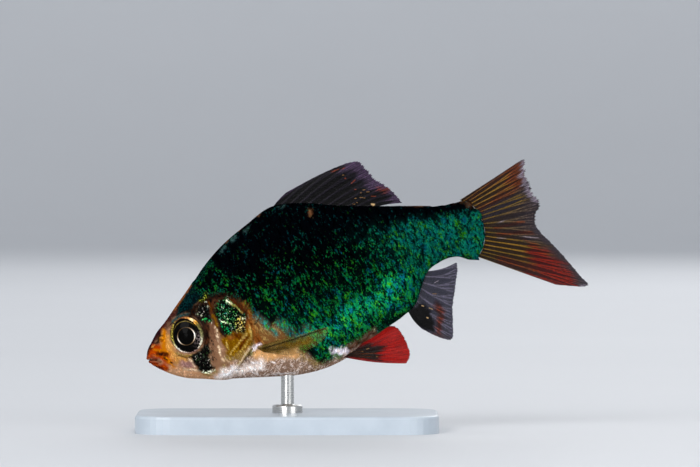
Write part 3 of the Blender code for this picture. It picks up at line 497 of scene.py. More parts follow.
def markings(u, v):
    """The paint of the fish at (u, v) in side view: ground and share of the flecks, flecks and silver, and
    play. The flank's shades follow the height and the distance from the tail, and each mark is laid over
    what is there with an edge that wanders."""
    back, belly, _ = body_at(u)
    height = (v - belly) / np.maximum(back - belly, 0.01) + 0.03 * wander(u, v, 3.0, 1)
    tail = ease((u + 0.35 * wander(u, v, 2.0, 2) - 33 + 0.55 * v) / 10)[..., None]
    steps = np.array((0.0, 0.22, 0.42, 0.62, 0.80, 1.0))
    names = ("low flank", "low flank", "flank", "shoulder green", "back", "back")
    table = np.array([shade(name) for name in names])
    paint = np.stack([np.interp(height, steps, table[:, k]) for k in range(9)], axis=-1)
    below = ease((0.9 - height) / 0.25)[..., None]
    paint += tail * below * (shade("tail root") - paint)
    head = ease(np.maximum(-behind_gill(u, v) / 0.15, (8.7 - u) / 0.1))[..., None]
    paint += head * (shade("cheek") - paint)
    for number, (name, points, width, soft) in enumerate(MARKS):
        ru = u + 0.4 * soft * wander(u, v, 4 * soft, 10 + number)
        rv = v + 0.4 * soft * wander(u, v, 4 * soft, 90 + number)
        paint += covered(ru, rv, points, width, soft)[..., None] * (shade(name) - paint)
    return {"ground": paint[..., :4], "fleck": paint[..., 4:8], "play": paint[..., 8]}


class Wire:
    """One value in a finish. Arithmetic on wires and numbers adds Math nodes."""

    def __init__(self, finish, socket):
        self.finish, self.socket = finish, socket

    def math(self, operation, first, second):
        return self.finish.node("Math", {"operation": operation}, {0: first, 1: second})

    def __add__(self, other):
        return self.math("ADD", self, other)

    def __sub__(self, other):
        return self.math("SUBTRACT", self, other)

    def __rsub__(self, other):
        return self.math("SUBTRACT", other, self)

    def __mul__(self, other):
        return self.math("MULTIPLY", self, other)

    __radd__, __rmul__ = __add__, __mul__


class Finish:
    """A material. What is the same all over is given to its shader at once, and the rest is fed to it."""

    def __init__(self, name, **constants):
        self.material = bpy.data.materials.new(name)
        self.material.use_nodes = True
        self.tree = self.material.node_tree
        self.shader = self.tree.nodes["Principled BSDF"]
        for key, value in constants.items():
            self.shader.inputs[key.replace("_", " ").title().replace("Ior", "IOR")].default_value = value

    def node(self, kind, settings, inputs, out=0):
        """Adds a node with its settings and a value or a wire for each input, and gives one output."""
        made = self.tree.nodes.new("ShaderNode" + kind)
        for name, value in settings.items():
            setattr(made, name, value)
        for name, value in inputs.items():
            if isinstance(value, Wire):
                self.tree.links.new(value.socket, made.inputs[name])
            else:
                made.inputs[name].default_value = value
        return Wire(self, made.outputs[out])

    def feed(self, **wires):
        for key, wire in wires.items():
            self.tree.links.new(wire.socket, self.shader.inputs[key.replace("_", " ").title()])

    def between(self, value, low, high):
        """0 where value is under low, 1 where it is over high, with a soft step between."""
        ends = {"Value": value, 1: low, 2: high}
        return self.node("MapRange", {"interpolation_type": "SMOOTHSTEP"}, ends)

    def mixed(self, share, first, second):
        """Two colours mixed by a share from 0 to 1."""
        first, second = ((*value, 1) if isinstance(value, tuple) else value for value in (first, second))
        return self.node("Mix", {"data_type": "RGBA"}, {0: share, 6: first, 7: second}, 2)

    def scaled(self, vector, factor):
        """A colour or vector times a number or a wire, or times a triple part by part."""
        if isinstance(factor, tuple):
            return self.node("VectorMath", {"operation": "MULTIPLY"}, {0: vector, 1: factor})
        return self.node("VectorMath", {"operation": "SCALE"}, {0: vector, 3: factor})

    def painted(self, layer, out=0):
        """What paint_on stored: output 0 is the colour, 2 a single value, 3 the fourth value."""
        return self.node("Attribute", {"attribute_name": layer}, {}, out)

    def in_fish(self, along, across, high, lean=0.0):
        """Object coordinates turned into the fish's frame, in units of along, across and high millimetres. A
        lean tips the upright direction towards the head."""
        where = self.node("TexCoord", {}, {}, 3)
        turned = self.node("Mapping", {}, {"Vector": where, "Rotation": (0, PITCH + lean, 0),
                                           "Scale": (1000, 1000, 1000)})
        return self.scaled(turned, (1 / along, 1 / across, 1 / high))

    def noise(self, where, detail=2.0, roughness=0.55):
        inputs = {"Vector": where, "Scale": 1.0, "Detail": detail, "Roughness": roughness}
        return self.node("TexNoise", {}, inputs)

    def bumps(self, height, strength, distance):
        return self.node("Bump", {}, {"Strength": strength, "Distance": distance, "Height": height})


LEAN, CREASE_LEAN = math.radians(10), math.radians(-50)  # of the flecks, and of the creases in the silver


def fish_skin(name, on_scales):
    """Painted skin. Flecks of a second colour lie on the ground where streaks of noise, made uneven by small
    random cells, rise over a limit; each cell has its own brightness, and the hue plays from yellow over
    green to blue. Where the skin is silvery, some cells and the level lines of two noises are painted pale
    cream as highlights and given a little metal. A thin clear coat lies over the parts that have no such
    play, and each scale has growth rings."""
    f = Finish(name, coat_roughness=0.15, coat_ior=1.35, specular_ior_level=0.0)
    ground, cover = f.painted("ground"), f.painted("ground", 3)
    fleck, silver, play = f.painted("fleck"), f.painted("fleck", 3), f.painted("play", 2)
    cell = f.node("TexVoronoi", {}, {"Vector": f.in_fish(0.15, 0.3, 0.23, LEAN), "Scale": 1.0}, 1)
    luck, tint, glow = [f.node("SeparateColor", {}, {"Color": cell}, part) for part in range(3)]
    streaks = f.noise(f.in_fish(0.36, 0.7, 0.85, LEAN), 4.0, 0.72)
    patches = f.noise(f.in_fish(1.7, 2.6, 2.2))
    fine = f.between(play, 0.05, 0.15) * f.between(play, 0.95, 0.75)
    grains = f.noise(f.in_fish(0.19, 0.3, 0.22), 1.5)
    lit = (streaks + (grains - streaks) * fine) * 3.0 + luck * 0.5 + patches * 0.9 - 2.2 + cover
    mask = f.between(lit, 0.40, 0.64)
    hue = f.noise(f.in_fish(0.9, 1.4, 1.6, LEAN), 4.0, 0.65) * 1.6 + tint * 0.3 - 0.45
    green = f.node("SeparateColor", {}, {"Color": fleck}, 1)
    blue, yellow = f.scaled((0.01, 0.46, 0.66), green), f.scaled((0.16, 1.25, 0.03), green)
    tinted = f.mixed(f.between(hue, 0.55, 0.70) * play, fleck, blue)
    tinted = f.mixed(f.between(hue, 0.40, 0.28) * play, tinted, yellow)
    tinted = f.scaled(tinted, glow * 1.1 + 0.5)
    colour = f.mixed(mask, ground, tinted)

    creases = f.noise(f.in_fish(0.7, 1.5, 1.6, CREASE_LEAN), 2.0)
    folds = f.noise(f.in_fish(0.9, 1.5, 0.6, -CREASE_LEAN), 2.0)
    foil = silver * f.between(play, 0.15, 0.05)
    lines = [f.between((n - 0.5) * (n - 0.5), 0.0008, 0.0001) for n in (creases, folds)]
    shine = (lines[0] * f.between(folds, 0.40, 0.52) + lines[1] * f.between(creases, 0.48, 0.60)) * foil
    dull = f.between(creases, 0.56, 0.70) * foil
    spark = f.between(luck * glow, 0.55, 0.69) * silver * f.between(play, 0.2, 0.5) * mask
    # Painted highlights on the silver: pale cream glints along crinkle lines and on some cells, beside
    # darker brown patches
    colour = f.mixed(dull * 0.5, colour, (0.17, 0.085, 0.045))
    colour = f.mixed(shine * 0.75 + spark * 0.8, colour, (0.98, 0.81, 0.71))
    height = f.noise(f.in_fish(0.12, 0.15, 0.12)) * 0.3 + streaks * play * 0.6 + creases * foil * 1.5
    if on_scales:
        where = f.node("UVMap", {"uv_map": "scale"}, {})
        growth = f.node("TexWave", {"wave_type": "RINGS", "rings_direction": "SPHERICAL"},
                        {"Vector": where, "Scale": 7.0, "Distortion": 1.5, "Detail": 1.0}, 1)
        height = height + growth * 0.25
    f.feed(base_color=colour, metallic=shine * 0.2 + spark * 0.3 + mask * play * 0.15,
           roughness=0.5 - shine * 0.2 - spark * 0.2, normal=f.bumps(height, 0.28, 0.00005),
           coat_weight=f.between(play, 0.9, 0.3) * 0.03)
    return f.material


rings = np.concatenate((BODY[0, 0] + (HEAD_RING * np.arange(1, 8)) ** 2,
                        np.arange(0.21, HEAD_END, HEAD_RING),
                        np.arange(HEAD_END, BODY_END + 0.001, TRUNK_RING)))
half = np.linspace(-math.pi / 2, math.pi / 2, AROUND // 2 + 1)
angle = np.concatenate((half, math.pi - half[-2:0:-1]))
y, v = section(rings[:, None], angle[None, :])
form = np.stack((np.broadcast_to(rings[:, None], y.shape), y, v), axis=-1)

end_line = np.array(SCALE_END[::-1])
reach = np.interp(v, end_line[:, 1], end_line[:, 0])
past = np.clip(form[..., 0] - DRAWN_FROM, 0, None) / (BODY_END - DRAWN_FROM)
drawn = np.where(past > 0, DRAWN_FROM + past * (reach - DRAWN_FROM), form[..., 0])
closing = np.clip(rings - CLOSES_FROM, 0, None) / (BODY_END - CLOSES_FROM)
closing = np.sqrt(np.clip(1 - closing**2, 0.02, 1))[:, None]
form[..., 1] *= body_at(drawn)[2] / body_at(form[..., 0])[2] * closing
form[..., 0] = drawn

normal = np.cross(np.roll(form, -1, axis=1) - np.roll(form, 1, axis=1), np.gradient(form, axis=0))
normal /= np.linalg.norm(normal, axis=2, keepdims=True)
# They point outwards, which one ring of the head tells for all
normal *= np.sign((normal[200] * (form[200] - form[200].mean(axis=0))).sum())
form += normal * relief(form[..., 0], form[..., 2])[..., None]
form[..., 1] += np.sign(form[..., 1]) * eye_rim(form[..., 0], np.abs(form[..., 1]), form[..., 2])

points = np.vstack((form.reshape(-1, 3), [(BODY[0, 0] - 0.02, 0, BODY[0, 1])]))
count, pole = len(rings), len(points) - 1
right = (count - 1) * AROUND + np.arange(AROUND // 2)
left = (count - 1) * AROUND + (AROUND - np.arange(AROUND // 2)) % AROUND
seam = np.stack((right, right + 1, np.roll(left, -1), left), axis=-1)
seam[-1, 2] = right[-1] + 1
skin = net("skin", points, quads(count, AROUND, wrap=True), fan(pole, np.arange(AROUND)), seam[1:-1],
           seam[:1, :3], seam[-1:, [0, 1, 3]])
for layer, values in markings(points[:, 0], points[:, 2]).items():
    paint_on(skin, layer, values)
skin.data.materials.append(fish_skin("skin", False))
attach(skin, "root")
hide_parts("head", "lower_jaw", "gill_cover_left", "gill_cover_right", "torso", "tail_base")

# The scales. Each is a thin plate of clear bone, rooted in the skin, which lies over the ones behind it like
# a tile. They stand in slanting columns from the gill opening to the root of the tail fin, carry the colours
# of the skin below them, and lie flatter on the bare-looking shoulder and belly than on the green flank.

SCALE_STEP, ROW_STEP, ROW_STEP_TAIL = 1.55, 2.2, 1.65  # along a row; between rows at gills and tail
SCALE_LONG, SCALE_HALF, FIRST_ROOT, COLUMNS, UNEVEN = 2.35, 1.85, 7, 29, 0.03
SCALE_LIFT, SCALE_THICK = 0.075, 0.04  # how far the free edge stands off the skin
ROOT_SUNK, EDGE_SUNK, TUCK = 0.07, 0.035, 0.35  # of the root, of the sides, and under the gill cover
ALONG, ACROSS, ROWS_A_SIDE = 5, 7, 6


def flank_tables():
    """For the section at mid body, the angle at each share of the way round from the widest point to the
    back (1) or the belly (-1), and for the whole body the lengths of those ways."""
    turn = np.radians(np.linspace(-150, 150, 301))
    bottom, widest, top = 60, 150, 240  # the places of -90, 0 and 90 degrees in turn
    y, v = section(np.array(24.0), turn)
    way = np.concatenate(([0], np.cumsum(np.hypot(np.diff(y), np.diff(v)))))
    way -= way[widest]
    share = np.where(way > 0, way / way[top], way / -way[bottom])
    u = np.linspace(5, 51, 93)
    y, v = section(u[:, None], turn[None, :])
    way = np.hypot(np.diff(y, axis=1), np.diff(v, axis=1))
    return turn, share, u, way[:, widest:top].sum(axis=1), way[:, bottom:widest].sum(axis=1)


TURN, SHARE, STATIONS, WAY_UP, WAY_DOWN = flank_tables()


def on_flank(u, way, side):
    """Point of the body at u, a way in mm round it from its widest line, up or down. Close to the midline
    the way is squeezed as a tanh, so that the scales of both flanks meet there."""
    share = way / np.where(way > 0, np.interp(u, STATIONS, WAY_UP), np.interp(u, STATIONS, WAY_DOWN))
    size, free = np.abs(share), 0.86
    size = np.where(size > free, free + (1 - free) * np.tanh((size - free) / (1 - free)), size)
    y, v = section(u, np.interp(np.sign(share) * size, SHARE, TURN))
    return np.stack((u, side * y, v), axis=-1)


draw = np.random.default_rng(7)
row, column, side = (k.ravel() for k in np.meshgrid(
    np.arange(-ROWS_A_SIDE, ROWS_A_SIDE + 1), np.arange(COLUMNS), (-1, 1), indexing="ij"))
root_u = FIRST_ROOT + SCALE_STEP * (column + 0.5 * (row % 2)) + draw.normal(0, UNEVEN, row.shape)
row_step = np.interp(root_u, (22, 44), (ROW_STEP, ROW_STEP_TAIL))
root_way = row * row_step + draw.normal(0, UNEVEN, row.shape)
reach_up, reach_down = np.interp(root_u + 1, STATIONS, WAY_UP), np.interp(root_u + 1, STATIONS, WAY_DOWN)
middle = on_flank(root_u + 0.6 * SCALE_LONG, root_way, 1)
apex = np.interp(middle[:, 2], end_line[:, 1], end_line[:, 0])
kept = (root_way < reach_up + 0.3) & (root_way > -reach_down - 0.3)
kept &= (behind_gill(middle[:, 0], middle[:, 2]) > -0.2) & (root_u + SCALE_LONG < apex + 0.45)
root_u, root_way, side, row_step = (k[kept][:, None, None] for k in (root_u, root_way, side, row_step))
number = len(root_u)
size = row_step / ROW_STEP * draw.uniform(0.96, 1.05, root_u.shape)
lift = draw.uniform(0.9, 1.12, root_u.shape)

along, across = np.meshgrid(np.linspace(0, 1, ALONG) ** 0.9, np.linspace(-1, 1, ACROSS), indexing="ij")
rounding = np.sqrt(1 - (0.86 * across) ** 2)
scale_u = root_u + SCALE_LONG * along * (0.25 + 0.75 * rounding)
scale_way = root_way + SCALE_HALF * size * across * (0.8 + 0.2 * np.sin(math.pi * along))


def over_skin(height):
    """The scales' points at a height in mm over the skin, along the body's own normals."""
    step = 0.05
    here = on_flank(scale_u, scale_way, side)
    over_u = on_flank(scale_u + step, scale_way, side) - on_flank(scale_u - step, scale_way, side)
    over_way = on_flank(scale_u, scale_way + step, side) - on_flank(scale_u, scale_way - step, side)
    out = np.cross(over_u, over_way) * side[..., None]
    out /= np.linalg.norm(out, axis=-1, keepdims=True)
    out *= np.sign(out[..., 1:2] * side[..., None] + 1e-9)
    return here + out * (height - UNDER_SCALES)[..., None]


flat = 0.3 + 0.7 * markings(middle[kept][:, 0], middle[kept][:, 2])["play"][:, None, None]
tucked = ease((behind_gill(scale_u, on_flank(scale_u, scale_way, side)[..., 2]) + 0.05) / 0.35)
height = (SCALE_LIFT * lift + 0.03) * flat * along - ROOT_SUNK - EDGE_SUNK * across**2
height = height * tucked - TUCK * (1 - tucked)
top, under = over_skin(height), over_skin(height - SCALE_THICK)
rim = np.zeros((ALONG, ACROSS), bool)
rim[[0, -1], :] = rim[:, [0, -1]] = True
cell = quads(ALONG, ACROSS)
below = np.full(ALONG * ACROSS, -1)
below[~rim.ravel()] = ALONG * ACROSS + np.arange((~rim).sum())
below[rim.ravel()] = np.flatnonzero(rim.ravel())
points = np.concatenate((top.reshape(number, -1, 3), under.reshape(number, -1, 3)[:, ~rim.ravel()]), axis=1)
each = points.shape[1]
faces = np.stack([cell, below[cell][:, ::-1]]).reshape(-1, 4)
faces = (faces[None] + (np.arange(number) * each)[:, None, None])
turned = np.where(side.ravel() > 0)[0]
faces[turned] = faces[turned][..., ::-1]
points = points.reshape(-1, 3)
scales = net("scales", points, faces.reshape(-1, 4))

local = np.stack((along, across), axis=-1).reshape(-1, 2)
local = np.concatenate((local, local[~rim.ravel()]))
paint = markings(points[:, 0], points[:, 2])
a = local[:, 0]
# Painted shade: the root of each scale, which lies under the scale in front, is darkened, and its free edge
# is dimmed a little
tone = (0.72 + 0.28 * ease((a - 0.35) / 0.3)) * (1 - 0.22 * ease((a - 0.9) / 0.1))  # dark root, dim edge
tone = draw.uniform(0.85, 1.15, (number, 1)) * tone
tone = 1 + (tone.reshape(-1, 1) - 1) * (0.35 + 0.65 * paint["play"][:, None])
paint["ground"][:, :3] *= tone
paint["fleck"][:, :3] *= tone
paint["ground"][:, 3] += np.tile(0.05 - 0.12 * ease((a - 0.86) / 0.14), number)
for layer, values in paint.items():
    paint_on(scales, layer, values)


def add_uv(obj, name, per_point):
    """A UV map from one (U, V) pair for each point."""
    layer = obj.data.uv_layers.new(name=name)
    corner = np.zeros(len(obj.data.loops), np.int32)
    obj.data.loops.foreach_get("vertex_index", corner)
    layer.data.foreach_set("uv", per_point[corner].astype(np.float32).ravel())


UV_MIDDLES, UV_LONG, UV_ROUND = (0.27, 0.73), 52, 70  # middles of the flanks, and mm to the map's whole side
around = np.where(side.ravel() > 0, *UV_MIDDLES) + root_way.ravel() / UV_ROUND
unwrapped = np.column_stack((root_u.ravel() / UV_LONG, around))
add_uv(scales, "OFBake", (unwrapped[:, None] + 0.003 * (local[None] * (1, 0.5) + (0, 0.5))).reshape(-1, 2))
add_uv(scales, "scale", np.broadcast_to(local, (number, each, 2)).reshape(-1, 2))
scales.data.materials.append(fish_skin("scales", True))
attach(scales, "root")

# The eyes. Each is a glass-clear ball set in its socket and looking a little forward: a black pupil inside a
# thin bright ring, a black iris, and a ring of gold and silver specks at its edge. It has no lids.

PUPIL, PUPIL_RADIUS, EYE_DEPTH, EYE_DOME, LENS_BULGE = (0.02, -0.17), 1.18, 1.45, 0.87, 0.16
# The outer ring: direction in degrees from the tail side upwards, and its colour and inner radius there
RIM_COLOURS = [
    (-180, (0.26, 0.2, 0.025), 1.86),
    (-160, (0.56, 0.52, 0.24), 1.95),
    (-140, (0.9, 0.84, 0.74), 2.03),
    (-120, (0.75, 0.6, 0.48), 2.1),
    (-95, (0.36, 0.19, 0.15), 2.2),
    (-75, (0.34, 0.22, 0.19), 2.18),
    (-58, (0.8, 0.72, 0.54), 2.12),
    (-42, (0.68, 0.64, 0.48), 2.05),
    (-22, (0.24, 0.22, 0.1), 1.98),
    (0, (0.15, 0.14, 0.045), 1.96),
    (22, (0.13, 0.1, 0.025), 1.94),
    (36, (0.85, 0.4, 0.05), 1.92),
    (50, (0.98, 0.76, 0.42), 1.96),
    (62, (0.65, 0.3, 0.07), 2.05),
    (76, (0.3, 0.11, 0.035), 2.14),
    (96, (0.26, 0.09, 0.03), 2.18),
    (116, (0.16, 0.08, 0.02), 2.08),
    (136, (0.24, 0.15, 0.022), 1.88),
    (158, (0.24, 0.18, 0.022), 1.84),
    (180, (0.26, 0.2, 0.025), 1.86),
]


def eye_ball(side):
    """A flattened ball: radius cos(t) and height sin(t), deeper behind than in front and a tenth taller than
    long, with the lens as a low swell over the pupil. t runs from the back pole to the front one."""
    turn = np.radians(np.concatenate((np.linspace(-88, 0, 24, endpoint=False), np.linspace(0, 89, 72))))
    height = np.where(turn < 0, EYE_DEPTH, EYE_DOME) * np.sin(turn)
    spin = np.linspace(0, 2 * math.pi, 128, endpoint=False)
    wide, tall = EYE_LONG * np.cos(spin), EYE_TALL * np.sin(spin)
    east, north = np.cos(turn)[:, None] * wide, np.cos(turn)[:, None] * tall
    from_pupil = np.hypot(east - PUPIL[0], north - PUPIL[1])
    high = height[:, None] + LENS_BULGE * ease(1 - from_pupil / (1.25 * PUPIL_RADIUS)) * (turn > 0)[:, None]
    axis = EYE_AXIS * (1, side, 1) / np.linalg.norm(EYE_AXIS)
    level = np.array((1.0, 0, 0)) - axis[0] * axis
    level /= np.linalg.norm(level)
    up = np.cross(level, axis) * -side
    up *= np.sign(up[2])
    on_skin = np.array((EYE[0], side * float(flank(*map(np.array, EYE))), EYE[1]))
    centre = on_skin - EYE_SUNK * EYE_AXIS * (1, side, 1)
    points = centre + east[..., None] * level + north[..., None] * up + high[..., None] * axis
    poles = centre - EYE_DEPTH * axis, centre + (EYE_DOME + LENS_BULGE) * axis
    return np.vstack((points.reshape(-1, 3), *poles)), east, north


def iris(east, north):
    """Colours by the distance from the pupil's centre and from the eye's, and by the direction round them,
    with specks from sine noise."""
    near, far = np.hypot(east - PUPIL[0], north - PUPIL[1]), np.hypot(east, north * EYE_LONG / EYE_TALL)
    way = np.degrees(np.arctan2(north, east))
    pupil_way = np.degrees(np.arctan2(north - PUPIL[1], east - PUPIL[0]))
    colour = np.zeros((*east.shape, 4)) + (0.0010, 0.0009, 0.0008, 0.0)
    speck = wander(east, north, 0.28, 31) * 0.6 + wander(east, north, 0.5, 32) * 0.6

    def lay(mask, tint, metal):
        colour[..., :3] += mask[..., None] * (tint - colour[..., :3])
        colour[..., 3] += mask * (metal - colour[..., 3])

    table = np.array([(angle, *tint, inner) for angle, tint, inner in RIM_COLOURS])
    rim = np.stack([np.interp(way, table[:, 0], table[:, k]) for k in range(1, 5)], axis=-1)
    outer = ease((far - rim[..., 3] + 0.05 * speck) / 0.08)
    lay(outer, rim[..., :3] * (0.6 + 0.7 * ease((speck + 0.4) / 0.8))[..., None], 0.25)
    snout_side = outer * ((way > 100) | (way < -165))
    lay(snout_side * ease((speck - 0.35) / 0.2), (0.02, 0.016, 0.01), 0.1)
    lay(snout_side * ease((-speck - 0.3) / 0.25), (0.80, 0.68, 0.10), 0.2)
    violet = np.exp(-((way + 36) / 22) ** 2) * ease((near - 1.38) / 0.1) * (1 - outer)
    lay(violet * ease((speck + 0.05) / 0.4), (0.17, 0.13, 0.125), 0.2)
    arc = np.exp(-((far - 1.77) / 0.045) ** 2) * np.exp(-((way - 84) / 50) ** 4)
    arc = arc * (0.5 + 0.5 * ease(speck + 0.5))
    lay(0.8 * arc * (1 - outer), (0.24, 0.17, 0.035), 0.2)
    tail_arc, snout_arc = (np.exp(-(((pupil_way - middle + 180) % 360 - 180) / spread) ** 2)
                           for middle, spread in ((-8, 42), (-168, 31)))
    bright = np.clip(tail_arc + 0.85 * snout_arc, 0, 1)[..., None]
    ring = np.exp(-((near - PUPIL_RADIUS - 0.05) / (0.04 + 0.04 * bright[..., 0])) ** 4)
    tint = (np.array((0.9, 0.5, 0.2)) + np.array((0.1, 0.45, 0.65)) * bright) * (0.05 + 0.95 * bright)
    lay(ring, tint, 0.1)
    return colour


def eye_finish():
    """Painted iris under a hard clear coat; the metal of its specks comes with the colours."""
    f = Finish("eye", coat_weight=0.07, coat_roughness=0.04, coat_ior=1.35, roughness=0.4,
               specular_ior_level=0.01)
    grain = f.noise(f.in_fish(0.08, 0.08, 0.08))
    f.feed(base_color=f.scaled(f.painted("iris"), f.between(grain, 0.3, 0.65) * 0.6 + 0.8),
           metallic=f.painted("iris", 3))
    return f.material


eye_material = eye_finish()
for side, name in ((-1, "left"), (1, "right")):
    points, east, north = eye_ball(side)
    rows, columns = east.shape
    first = np.arange(columns)
    faces = (quads(rows, columns, wrap=True)[:, ::-1], fan(len(points) - 2, first)[:, ::-1],
             fan(len(points) - 1, (rows - 1) * columns + first))
    eye = net("eye_" + name + "_ball", points, *[part[:, ::side] for part in faces])
    colours = iris(east, north).reshape(-1, 4)
    paint_on(eye, "iris", np.vstack((colours, colours[:1], colours[-1:])))
    eye.data.materials.append(eye_material)
    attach(eye, "root")
    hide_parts("eye_" + name)

# The fins. A clear membrane is carried by jointed rays, which split in two and again on their way to the
# edge. The tail fin grows from the end of the scales, its upper lobe worn ragged and its lower lobe whole.

TAIL_TIPS = [(55, 7.05), (58.6, 7.85), (58.55, 7), (58.5, 6.1), (58.35, 5.1), (58.45, 4.3), (58.4, 3.2),
             (58.65, 2.2), (58.75, 1.1), (57.4, -0.5), (57.3, -2.1), (57.9, -3.6), (58.5, -4.9), (59, -6),
             (59.5, -7.3), (59.95, -8.6), (60.5, -10.1), (60.95, -11.9), (57, -10.3)]
WEB, RAY_HIGH, RAY_LOW = 0.05, 0.08, 0.015  # half thickness of the membrane, and of the rays over it


def read_along(points, at):
    """Points read at even shares from 0 to 1 along a list, on a smooth curve through them."""
    p = np.array(points, float)
    knots = np.arange(len(p), dtype=float)
    at = np.clip(at, 0, 1) * (len(p) - 1)
    return np.stack([through(knots, part, at) for part in p.T], axis=-1)


def fin(name, root, tips, bow, ragged, seed, each=12, steps=110, wave=0.12, ray_high=RAY_HIGH):
    """A closed thin sheet between the root line and the tips of the rays. Its half thickness is the
    membrane's plus a ridge exp(-(x/w)^2) along each branch of each ray, where x is the way across from the
    branch, in ray spacings."""
    rays = len(tips)
    s = np.linspace(0, 1, (rays - 1) * each + 1)[:, None]
    t = np.linspace(0, 1, steps)[None, :]
    x = s * (rays - 1) - np.round(s * (rays - 1))
    fork, twig = 0.25 * ease((t - 0.22) / 0.75), 0.115 * ease((t - 0.55) / 0.4)
    width = 0.15 - 0.085 * t
    branches = [x - a * fork - b * twig for a in (-1, 1) for b in (-1, 1)]
    ridge = np.max([np.exp(-((branch / width) ** 2)) for branch in branches], axis=0)
    draw = np.random.default_rng(seed)
    torn = np.interp(s, np.linspace(0, 1, rays * 4), draw.uniform(0, 1, rays * 4))
    worn = np.interp(s, np.linspace(0, 1, len(ragged)), ragged)
    notch = 1 - worn * (0.7 * (1 - ridge[:, -1:]) + torn)
    start, end = read_along(root, s[:, 0])[:, None], read_along(tips, s[:, 0])[:, None]
    way = (end - start) * t[..., None] * notch[..., None]
    sideways = np.stack((-way[..., 2], 0 * way[..., 1], way[..., 0]), axis=-1)
    centre = start + way + sideways * bow * np.sin(math.pi * t)[..., None] / np.clip(t, 0.02, 1)[..., None]
    normal = np.cross(np.gradient(centre, axis=0), np.gradient(centre, axis=1))
    normal /= np.linalg.norm(normal, axis=2, keepdims=True)
    centre = centre + normal * (wave * np.sin(5.3 * s * math.pi + seed) * t**1.5)[..., None]
    half = WEB * (1 - 0.5 * t) + ridge * (ray_high + (RAY_LOW - ray_high) * t)
    half = half * (1 - 0.7 * ease((t - 0.94) / 0.06))
    front, back = centre + normal * half[..., None], centre - normal * half[..., None]
    face = quads(*half.shape)
    index = np.arange(half.size).reshape(half.shape)
    edge = np.concatenate((index[:-1, 0], index[-1, :-1], index[:0:-1, -1], index[0, :0:-1]))
    band = np.stack((edge, np.roll(edge, -1), np.roll(edge, -1) + half.size, edge + half.size), axis=-1)
    points = np.concatenate((front.reshape(-1, 3), back.reshape(-1, 3)))
    obj = net(name, points, face[:, ::-1], face + half.size, band)
    grid = np.stack((np.broadcast_to(s * (rays - 1), half.shape), np.broadcast_to(t, half.shape)), axis=-1)
    add_uv(obj, "rays", np.concatenate((grid.reshape(-1, 2),) * 2))
    return obj, centre[..., 0], centre[..., 2], np.broadcast_to(t, half.shape), ridge


def fin_paint(obj, web, ray, marks, u, v, t, ridge):
    """Colour and cover (0 clear, 1 solid) of a fin. Membrane and rays each go from a root to an edge value,
    and marks are laid over both, over the rays only or over the membrane only. The edge of a mark runs out
    in streaks along the rays, as it is read from points that are shifted to and fro along them."""
    pairs = (np.array(web), np.array(ray))
    membrane, bone = (pair[0] + (pair[1] - pair[0]) * t[..., None] for pair in pairs)
    along_u, along_v = u[:, -1:] - u[:, :1], v[:, -1:] - v[:, :1]
    length = np.hypot(along_u, along_v)
    for number, (over_ray, over_web, points, width, soft) in enumerate(marks):
        draw = np.random.default_rng(300 + number)
        few = len(u) // 4
        shift = np.interp(np.arange(len(u)), np.linspace(0, len(u), few), draw.uniform(-1, 1, few))
        shift = shift[:, None] * 1.1 * soft / length
        ru = u + along_u * shift + 0.2 * soft * wander(u, v, 3 * soft, 300 + number)
        rv = v + along_v * shift + 0.2 * soft * wander(u, v, 3 * soft, 400 + number)
        mask = covered(ru, rv, points, width, soft)[..., None]
        if over_ray:
            bone += mask * (np.array(over_ray) - bone)
        if over_web:
            membrane += mask * (np.array(over_web) - membrane)
    paint = membrane + (ridge**1.5)[..., None] * (bone - membrane)
    paint[..., 3] = 1 - np.sqrt(np.clip(1 - paint[..., 3], 0, 1))  # each of the two faces covers its share
    paint_on(obj, "tint", np.concatenate((paint.reshape(-1, 4),) * 2))


def fin_finish():
    """Wet membrane: the tint and its cover come with the mesh, with fine streaks along the rays, a bright
    bead here and there on each joint of them, and a thin clear coat."""
    f = Finish("fin", coat_weight=0.06, coat_roughness=0.15, coat_ior=1.35, roughness=0.45,
               specular_ior_level=0.06)
    rays = f.node("UVMap", {"uv_map": "rays"}, {})
    streak = f.noise(f.scaled(rays, (11.0, 5.0, 1.0)), 3.0)
    beads = f.noise(f.scaled(rays, (8.0, 42.0, 1.0)), 2.0)
    tone = f.between(streak, 0.3, 0.7) * 0.6 + f.between(beads, 0.52, 0.68) * 0.8 + 0.4
    f.feed(base_color=f.scaled(f.painted("tint"), tone), alpha=f.painted("tint", 3),
           normal=f.bumps(streak + beads, 0.25, 0.00004))
    return f.material


def fin_done(obj, slot, *nodes):
    obj.data.materials.append(fin_material)
    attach(obj, "root")
    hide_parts(*nodes)


fin_material = fin_finish()
# Paints: colour and cover
GOLD_RAY, OLIVE_RAY = (0.3, 0.155, 0.016, 0.985), (0.155, 0.088, 0.007, 0.985)
RUST_RAY, RED_RAY = (0.17, 0.036, 0.005, 0.985), (0.24, 0.012, 0.002, 0.985)
PALE_RAY, SMOKE_RAY = (0.34, 0.28, 0.32, 0.93), (0.06, 0.042, 0.046, 0.98)
OLIVE_WEB, RUST_WEB = (0.018, 0.008, 0.001, 0.99), (0.03, 0.004, 0.001, 0.99)
RED_WEB, SMOKE_WEB = (0.05, 0.001, 0.001, 0.99), (0.012, 0.008, 0.014, 0.98)
CLEAR_WEB, MAUVE_WEB = (0.014, 0.013, 0.03, 0.965), (0.15, 0.115, 0.17, 0.93)
BLACK, GLINT, EMBER = (0.002, 0.0018, 0.002, 0.997), (0.8, 0.52, 0.24, 0.99), (0.32, 0.05, 0.015, 0.98)
SPECK, SHADOW_RAY = (0.45, 0.23, 0.07, 0.98), (0.14, 0.02, 0.006, 0.98)

